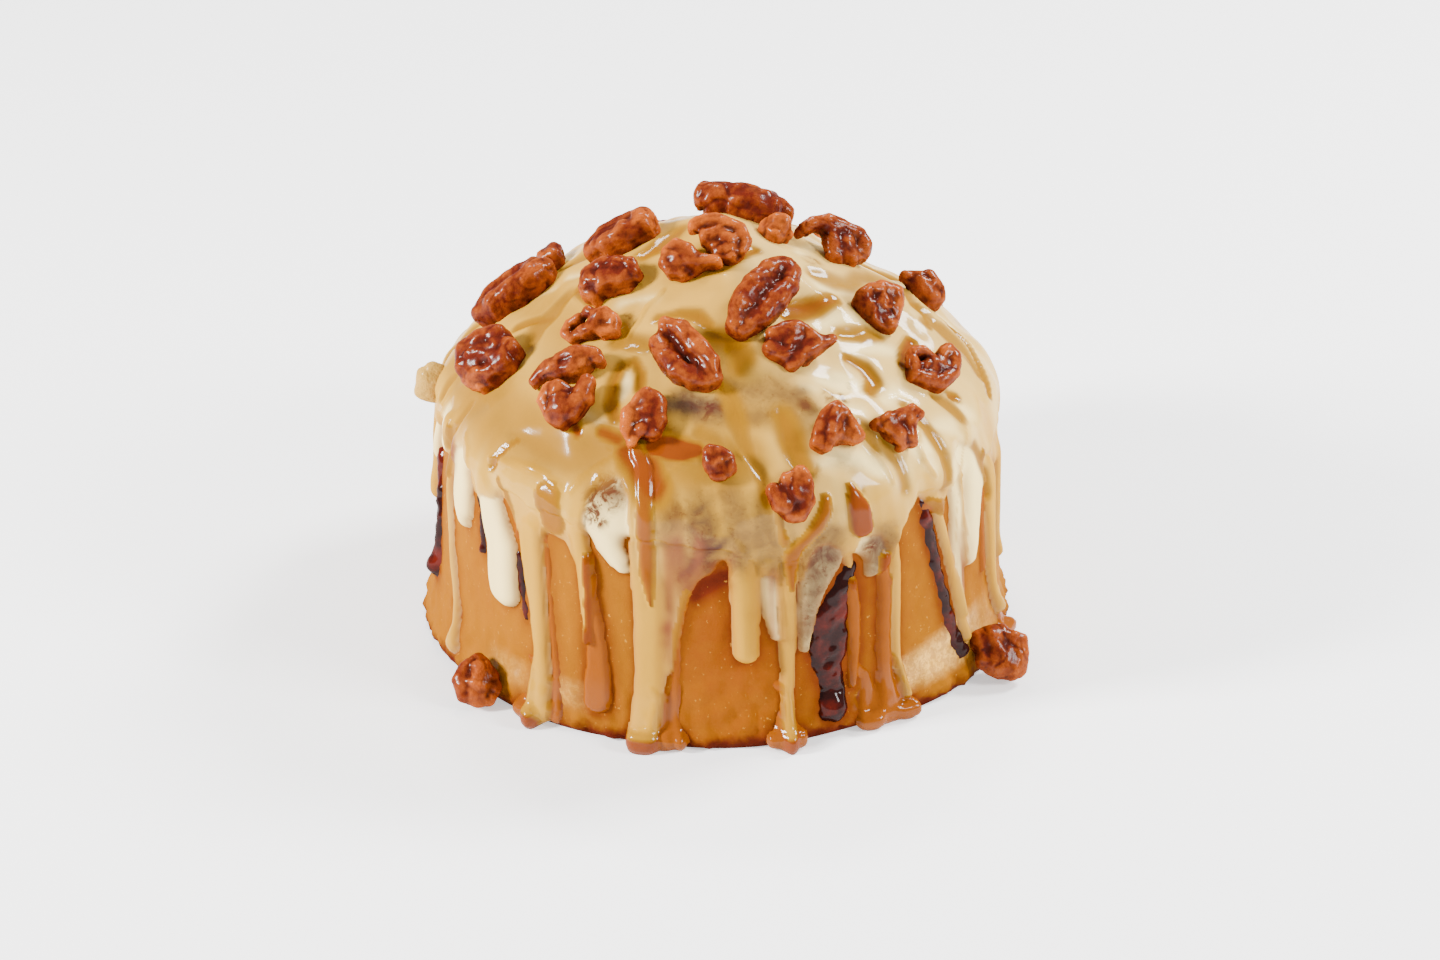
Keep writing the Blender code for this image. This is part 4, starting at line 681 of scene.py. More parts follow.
# A brown halo round each white and tan run: partly soaked caramel and partly painted contact shade where
# the run meets the crust.
for line, depth in white_runs + tan_runs:
    beyond = np.minimum(0, depth_inside(crust_points, line))
    stain_and_shade = np.maximum(stain_and_shade, 0.9 * np.exp(beyond))
crust_points = skin(turn_grid, fall_grid, craggy * (fall_grid < WHOLE_FALL - 1))
crown_point = skin(0.0, 0.0)[None]
under_ring = crust_points[-BREAD_COLUMNS:] * (0.93, 0.93, 0)
bread_points = np.concatenate([crown_point, crust_points, under_ring, [[0, 0, 0]]])
bread_faces = []
for column in range(BREAD_COLUMNS):
    beside = (column + 1) % BREAD_COLUMNS
    bread_faces.append((0, 1 + column, 1 + beside))
    for row in range(BREAD_ROWS):
        upper = 1 + row * BREAD_COLUMNS
        lower = upper + BREAD_COLUMNS
        bread_faces.append((upper + column, lower + column, lower + beside, upper + beside))
    bread_faces.append((lower + column, len(bread_points) - 1, lower + beside))

crust_paint, crust_shader, wire = new_paint(
    "baked_crust", Specular_IOR_Level=0.0, Coat_IOR=1.45, Coat_Roughness=0.3)
# Browner in front than round the sides: partly uneven baking and partly painted shade on the front.
bake_and_shade = wire.amount("bake_and_shade")
blotch = wire.noise(0.016, 2)
mottle = (wire.noise(0.0028, 4, 0.65) - 0.5) * 0.7
crust = wire.blend((bake_and_shade + (blotch - 0.5) * 0.7 + mottle).clamp(), GOLDEN_CRUST, BROWN_CRUST)
soak_and_shade = wire.amount("stain_and_shade")
crust = wire.blend((soak_and_shade * 0.75 + (wire.noise(0.005, 3) - 0.5) * 0.3).clamp(), crust, DEEP_CRUST)
# Past a strength of 1.1 the crust turns near black: a painted shadow in the notch under the front hem.
crust = wire.blend(((soak_and_shade - 1.1) * 1.4).clamp(), crust, BURNT_AND_SHADOW_CRUST)
# Pale sugared colour low on the wall: partly a glossy sugar glaze and partly a painted highlight.
sugar_and_sheen = wire.amount("sugar_and_sheen")
grain = wire.noise(0.0012, 3, 0.7).fade(0.42, 0.62)
sugar_sheen = (sugar_and_sheen * (0.15 + grain * 0.35 + wire.noise(0.005, 3) * 0.45)).clamp()
crust = wire.blend(sugar_sheen, crust, SUGAR_SHEEN_CRUST)
# Pale flecks in the crust: partly sugar specks and partly painted glints on glossy pores.
fleck_glint = wire.noise(0.0011, 2, 0.7).fade(0.66, 0.74)
crust = wire.blend(fleck_glint * 0.5, crust, PALE_FLECK_GLINT)
burnt = (wire.amount("burnt") + (wire.noise(0.004, 3) - 0.5) * 0.8).fade(0.3, 0.8)
crust = wire.blend(burnt, crust, BURNT_AND_SHADOW_CRUST)
pore = wire.noise(0.0009, 4, 0.65)
connect(crust_shader, Base_Color=crust, Roughness=0.7 - sugar_and_sheen * 0.3, Coat_Weight=0.05 + sugar_and_sheen * 0.45,
        Normal=wire.bump(pore * (0.35 + sugar_and_sheen * 1.6), 0.0004, 0.6))

turns = np.concatenate([[0], turn_grid, azimuths, [0]])
downs = np.concatenate([[0], fall_grid, np.full(BREAD_COLUMNS + 1, WHOLE_FALL)])
bread_amounts = dict(
    bake_and_shade=round_bun(turns, BAKE_AND_SHADE) - 0.25 * ramp(downs, 98, 12),
    stain_and_shade=np.concatenate([[0], stain_and_shade, np.zeros(BREAD_COLUMNS + 1)]),
    burnt=ramp(downs, WHOLE_FALL - BURNT_HEIGHT, BURNT_HEIGHT),
    sugar_and_sheen=(ramp(downs, round_bun(turns, SUGAR_SHEEN_TOP), 3) * ramp(downs, SUGAR_SHEEN_FOOT, -3)
           * round_bun(turns, SUGAR_SHEEN)),
)
bread = add_piece("bread", bread_points, bread_faces, crust_paint, "bread", **bread_amounts)
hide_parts("bun")

# The icing's mesh: a sheet whose cells are half a millimetre in front, dipping under the crust
# past its edges and closed behind by a hidden sheet of cells four times as long.


def near(points, azimuth, fall, reach):
    """1 at a place on the bread, fading to 0 well past this reach from it."""
    return np.exp(-(np.linalg.norm(points - skin(azimuth, fall), axis=1) / reach) ** 2)


def gather(points, edge, depth, runs, soften=0.8):
    """Joins a poured sheet and its runs with rounded corners: how far inside each point is, and the
    depth there, thicker in each run's last drop."""
    weight = np.exp(np.clip(edge, -30, 6) / soften)
    total = weight.copy()
    deep = weight * depth
    for line, run_depth in runs:
        inside = np.exp(np.clip(depth_inside(points, line), -30, 6) / soften)
        total += inside
        turn, down, width = line[-1]
        drop = near(points, turn, down - 0.3 * width, 0.8 * width + 0.6)
        deep += inside * run_depth * (1 + DROP_SWELL * drop)
    return soften * np.log(total), deep / total


def rounded(inside, rim):
    """A layer's edge in section: a quarter circle up over its rim, and a slope down outside it."""
    step = ramp(inside, 0, rim)
    return np.sqrt(1 - (1 - step) ** 2), np.clip(inside * 0.9, -0.9, 0)


def cinnamon_and_shade_in(points, wander):
    """The swirls, smoky patches with their painted shade, and thin webs at each point of the icing."""
    swirl_and_shade = np.zeros(len(points))
    for place, down, radius, strength in SWIRLS_AND_SHADE:
        away = np.linalg.norm(points - skin(place, down), axis=1) + 0.8 * wander
        swirl_and_shade = np.maximum(swirl_and_shade, strength * np.clip(1.35 - away / radius, 0, 1))
    return dict(
        swirl_and_shade=swirl_and_shade,
        smoke_and_shade=strongest(points, SMOKE_AND_SHADE_PATCHES, 1.2 * wander, 0.8),
        web=strongest(points, WEBS, wander, 0.7),
    )


def pour(azimuth, fall):
    """The icing and caramel over each place: how far its face stands off the bread, and the
    thickness of white, tan and caramel there, with the cinnamon and painted shade in it."""
    points = skin(azimuth, fall)
    wander = 0.5 * unevenness(points, 9, seed=3) + 0.25 * unevenness(points, 4, seed=4)
    turn = np.radians(azimuth)
    drawn_out = np.stack([50 * np.sin(turn), 50 * np.cos(turn), 0.1 * fall], axis=-1)
    flow = unevenness(drawn_out, 3.2, seed=6)

    hem = round_bun(azimuth, WHITE_HEM) - fall + wander
    cream_edge, depth = gather(points, hem, CREAM_DEPTH, white_runs)
    rise, dip = rounded(cream_edge + 0.2 * wander, CREAM_RIM)
    white = rise * depth
    lift = np.where(cream_edge > 0, white, dip)

    hem = round_bun(azimuth, TAN_HEM) - fall + wander
    edge, depth = gather(points, hem, TAN_DEPTH, tan_runs)
    rise, dip = rounded(edge + 0.2 * wander, TAN_RIM)
    icing_rim = np.exp(-np.abs(np.maximum(cream_edge, edge)) / 0.8)
    glaze_rim = 0.7 * np.exp(-np.abs(edge) / 0.35)
    gone = np.zeros(len(points))
    amber = np.zeros(len(points))
    for line, bare, deep in amber_streaks:
        soft = 0.12 + 0.09 * max(place[2] for place in line)
        share = share_inside(depth_inside(points, line) + 0.3 + 0.3 * wander, soft)
        gone = np.maximum(gone, bare * share)
        amber = np.maximum(amber, deep * share)
    for line, bare in white_streaks:
        share = share_inside(depth_inside(points, line) + 0.9 * wander, 0.6)
        gone = np.maximum(gone, bare * share)
        white = white + WHITE_SWELL * share
        lift = np.where(edge > 0, lift + WHITE_SWELL * share, lift)
    tan = rise * depth * (1 - gone)
    lift = np.where(edge > 0, np.maximum(lift, 0) + tan, np.maximum(lift, dip))
    for line, height in RIDGES:
        strand = height * np.sqrt(ramp(depth_inside(points, line) + 0.15 * wander, 0, 0.8))
        lift += np.where(edge > 0, strand, 0)
        tan += strand

    edge, depth = gather(points, np.full(len(points), -30.0), 0.0, caramel_runs, soften=0.6)
    rise, dip = rounded(edge + 0.3 * wander, CARAMEL_RIM)
    caramel = rise * depth
    lift = np.where(edge > 0, np.maximum(lift, 0) + caramel, np.maximum(lift, dip))
    under_glaze = ramp(tan, 0.8, 0.3) * ramp(fall, 96, 4) * ramp(fall, TOE_FALL, -0.8)
    caramel = caramel * (1 - 0.95 * under_glaze)

    crown = ramp(fall, 80, -12)
    relief = 0.35 * unevenness(points, 17, seed=7) + 0.18 * unevenness(points, 8, seed=8)
    lift += (crown * relief + 0.06 * (1 - crown) * flow) * (lift > 0)

    stays = round_bun(azimuth, TAN_SHARE)
    stays = stays + (1 - stays) * ramp(fall + 5 * unevenness(points, 14, seed=9), 64, 10)
    return lift, dict(
        white_mm=white,
        tan_mm=tan * stays,
        caramel_mm=np.maximum(caramel, amber),
        rim=np.maximum(icing_rim, glaze_rim),
        flow=flow * ramp(fall, 58, 12),
        gloss=np.maximum(crown, ramp(fall, 104, 6)),
        **cinnamon_and_shade_in(points, wander),
    )


STRIDE = 4
CROWN_FALL = 12.0
HEM_FALL = 66.0
SIDE_TURN = 100
BURIED = -2.0
DEEPEST_EDGE = -0.45

fine_turns = np.concatenate([
    np.arange(-SIDE_TURN, SIDE_TURN, 0.5),
    np.arange(SIDE_TURN, 360 - SIDE_TURN, 0.8),
])
fine_falls = np.concatenate([
    np.linspace(CROWN_FALL, HEM_FALL, 68, endpoint=False),
    np.linspace(HEM_FALL, WHOLE_FALL, 105),
])
crown_falls = np.linspace(0, CROWN_FALL, 13)[1:-1]
coarse_turns = fine_turns[::STRIDE]
columns = len(fine_turns)
blocks = len(coarse_turns)
block_rows = (len(fine_falls) - 1) // STRIDE

crown_grid = np.meshgrid(coarse_turns, crown_falls)
fine_grid = np.meshgrid(fine_turns, fine_falls)
back_grid = np.meshgrid(coarse_turns, fine_falls[::STRIDE])
turns = np.concatenate([[0], crown_grid[0].ravel(), fine_grid[0].ravel()])
downs = np.concatenate([[0], crown_grid[1].ravel(), fine_grid[1].ravel()])
lift, amounts = pour(turns, downs)
crown_start = 1
fine_start = crown_start + crown_grid[0].size
back_start = fine_start + fine_grid[0].size
back_pole = back_start + back_grid[0].size
back_points = skin(back_grid[0].ravel(), back_grid[1].ravel(), BURIED)
icing_points = np.concatenate([skin(turns, downs, lift), back_points, skin(0.0, 0.0, BURIED)[None]])
none_behind = np.zeros(len(back_points) + 1)
amounts = {title: np.concatenate([values, none_behind]) for title, values in amounts.items()}

rows_lift = lift[fine_start:].reshape(len(fine_falls), columns)
shows = np.concatenate([rows_lift, rows_lift[:, :1]], axis=1) > DEEPEST_EDGE
kept = np.zeros((block_rows, blocks), bool)
for row in range(STRIDE + 1):
    for column in range(STRIDE + 1):
        down = slice(row, row + STRIDE * block_rows, STRIDE)
        along = slice(column, column + STRIDE * blocks, STRIDE)
        kept |= shows[down, along]


def sheet(start, width):
    """Gives the number of a point from its row and column, in a sheet that runs round the bun."""
    return lambda row, column: start + row * width + column % width


def square(number, row, column):
    """The four corners of one cell of a sheet."""
    return (number(row, column), number(row + 1, column),
            number(row + 1, column + 1), number(row, column + 1))


crown = sheet(crown_start, blocks)
fine = sheet(fine_start, columns)
back = sheet(back_start, blocks)
icing_faces = []
last_crown = len(crown_falls) - 1
for block in range(blocks):
    icing_faces.append((0, crown(0, block), crown(0, block + 1)))
    for row in range(last_crown):
        icing_faces.append(square(crown, row, block))
    edge = [fine(0, block * STRIDE + step) for step in range(STRIDE + 1)]
    icing_faces.append((crown(last_crown, block), *edge, crown(last_crown, block + 1)))
    icing_faces.append((back_pole, back(0, block + 1), back(0, block)))
for row, block in zip(*np.nonzero(kept)):
    for down in range(row * STRIDE, row * STRIDE + STRIDE):
        for along in range(block * STRIDE, block * STRIDE + STRIDE):
            icing_faces.append(square(fine, down, along))
    behind = square(back, row, block)
    icing_faces.append((behind[0], *behind[:0:-1]))
    steps = range(STRIDE + 1)
    if row + 1 == block_rows or not kept[row + 1, block]:
        rim = [fine(row * STRIDE + STRIDE, block * STRIDE + STRIDE - step) for step in steps]
        icing_faces.append((*rim, back(row + 1, block), back(row + 1, block + 1)))
    if row and not kept[row - 1, block]:
        rim = [fine(row * STRIDE, block * STRIDE + step) for step in steps]
        icing_faces.append((*rim, back(row, block + 1), back(row, block)))
    if not kept[row, (block + 1) % blocks]:
        rim = [fine(row * STRIDE + step, block * STRIDE + STRIDE) for step in steps]
        icing_faces.append((*rim[::-1], back(row, block + 1), back(row + 1, block + 1))[::-1])
    if not kept[row, block - 1]:
        rim = [fine(row * STRIDE + step, block * STRIDE) for step in steps]
        icing_faces.append((*rim, back(row + 1, block), back(row, block))[::-1])

CREAM_WHITE = colour(242, 214, 140)
SMOKE_AND_SHADE_GREY = colour(72, 51, 39)
TAN_GLAZE = colour(180, 132, 30)
THIN_CARAMEL = colour(136, 92, 0)
DEEP_CARAMEL = colour(112, 48, 4)
CRUST_CARAMEL = colour(125, 63, 0)
CINNAMON_AND_SHADE = colour(66, 24, 20)
CRUST_BELOW = colour(120, 56, 14)
WEB_PINK = colour(116, 62, 38)
RIM_BROWN = colour(128, 70, 14)

icing_paint, icing_shader, wire = new_paint(
    "poured_icing", Specular_IOR_Level=0.0, Roughness=0.5, Coat_IOR=1.48, Coat_Roughness=0.12)
specks = wire.noise(0.0012, 3, 0.7).fade(0.55, 0.72)
veins = wire.noise(0.0035, 4, 0.6, 1.2).fade(0.42, 0.62)
# The grey and cinnamon here paint both cinnamon in the icing and shade under and between the pecans and in
# the notch under the front hem.
smoke_and_shade = wire.amount("smoke_and_shade") * (0.45 + wire.noise(0.004, 4, 0.6, 0.8) * 0.95)
cream = wire.blend(smoke_and_shade.clamp(), CREAM_WHITE, SMOKE_AND_SHADE_GREY)
swirl_and_shade_marks = wire.amount("swirl_and_shade") * (0.15 + veins * 0.8 + specks * 0.5)
cinnamon_and_shade = (swirl_and_shade_marks + wire.amount("smoke_and_shade") * (specks * 0.5 + veins * 0.25)).clamp()
cream = wire.blend(cinnamon_and_shade * 0.85, cream, CINNAMON_AND_SHADE)
shade = (wire.noise(0.02, 2) - 0.5) * 0.5 + wire.amount("flow") * 0.22
glaze = wire.blend((wire.amount("tan_mm") * (1.0 + shade)).cover(0.33), cream, TAN_GLAZE)
glaze = wire.blend((smoke_and_shade * 0.85).clamp(), glaze, SMOKE_AND_SHADE_GREY)
glaze = wire.blend(cinnamon_and_shade * 0.75, glaze, CINNAMON_AND_SHADE)
iced = (wire.amount("white_mm") + wire.amount("tan_mm")).cover(0.4)
laid = wire.blend(iced, CRUST_BELOW, glaze)
thinness = wire.amount("web") * (0.75 + wire.amount("flow") * 0.6)
laid = wire.blend(thinness.clamp() * 0.95, laid, WEB_PINK)
laid = wire.blend(wire.amount("rim") * 0.6, laid, RIM_BROWN)
caramel = wire.amount("caramel_mm")
on_icing = wire.blend(caramel.fade(0.2, 1.2), THIN_CARAMEL, DEEP_CARAMEL)
syrupy = wire.blend(iced, CRUST_CARAMEL, on_icing)
coated = wire.blend(caramel.cover(0.085), laid, syrupy)
gloss = 0.1 + wire.amount("gloss") * 0.27 + caramel.clamp() * 0.05
ripple = wire.noise(0.004, 2)
connect(icing_shader, Base_Color=coated, Coat_Weight=gloss, Normal=wire.bump(ripple, 0.0006, 0.25))

icing = add_piece("icing_and_caramel", icing_points, icing_faces, icing_paint, "icing", **amounts)
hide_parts("icing")

# Dark syrup: sugar and cinnamon that boiled out of the dough and set on the side in bubbly, glassy
# runs, each with a drop at its end. Each run is a closed skin of its own over the crust.
SYRUP_PITCH = 0.45
SYRUP_MARGIN = 3.0
SYRUP_BACK = -0.7
SYRUP_EDGE = -0.5
syrup_points = []
syrup_faces = []
for number, (line, depth) in enumerate(SYRUP_RUNS):
    spread = max(p[2] for p in line) / 2 + SYRUP_MARGIN
    low_turn = min(p[0] for p in line) - spread
    high_turn = max(p[0] for p in line) + spread
    top = line[0][1] - spread
    bottom = min(line[-1][1] + spread, WHOLE_FALL - 0.3)
    across = int((high_turn - low_turn) / SYRUP_PITCH) + 1
    down = int((bottom - top) / SYRUP_PITCH) + 1
    grid = np.meshgrid(np.linspace(low_turn, high_turn, across), np.linspace(top, bottom, down))
    turns, downs = (values.ravel() for values in grid)
    base = skin(turns, downs)
    last_turn, last_down, last_width = line[-1]
    inside = depth_inside(base, line) + 0.35 * unevenness(base, 4, seed=31 + number)
    rise, dip = rounded(inside, max(1.0, last_width / 2))
    lumps = unevenness(base, 2.8, seed=51 + number) * ramp(inside, 0, 1.5)
    drop = near(base, last_turn, last_down, 0.55 * last_width + 0.4)
    swell = rise * depth * (0.7 + 0.9 * drop) + 0.22 * lumps * (1 - drop)
    height = np.where(inside > 0, swell, dip)
    shown = (height > SYRUP_EDGE).reshape(down, across)
    kept = shown[:-1, :-1] | shown[1:, :-1] | shown[:-1, 1:] | shown[1:, 1:]
    first = sum(len(points) for points in syrup_points)
    second = first + across * down
    syrup_points.append(skin(turns, downs, height))
    syrup_points.append(skin(turns, downs, np.minimum(height, 0) + SYRUP_BACK))
    wide = np.pad(kept, 1)
    for row, column in zip(*np.nonzero(kept)):
        corner = row * across + column
        ring = [corner, corner + across, corner + across + 1, corner + 1]
        syrup_faces.append(tuple(first + index for index in ring))
        syrup_faces.append(tuple(second + index for index in ring[::-1]))
        beside = (wide[row + 1, column], wide[row + 2, column + 1],
                  wide[row + 1, column + 2], wide[row, column + 1])
        for start, end, neighbour in zip(ring, ring[1:] + ring[:1], beside):
            if not neighbour:
                syrup_faces.append((first + end, first + start, second + start, second + end))

SYRUP_BLACK = colour(32, 10, 8)
SYRUP_RED = colour(84, 19, 9)
syrup_paint, syrup_shader, wire = new_paint(
    "dark_syrup", Specular_IOR_Level=0.0, Coat_IOR=1.5, Coat_Roughness=0.07, Coat_Weight=0.25)
reddish = wire.noise(0.006, 3, 0.6).fade(0.42, 0.75)
connect(syrup_shader, Base_Color=wire.blend(reddish, SYRUP_BLACK, SYRUP_RED),
        Normal=wire.bump(wire.noise(0.0016, 3, 0.6), 0.0004, 0.35))
syrup = add_piece("dark_syrup", np.concatenate(syrup_points), syrup_faces, syrup_paint, "bread")
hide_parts("bun")

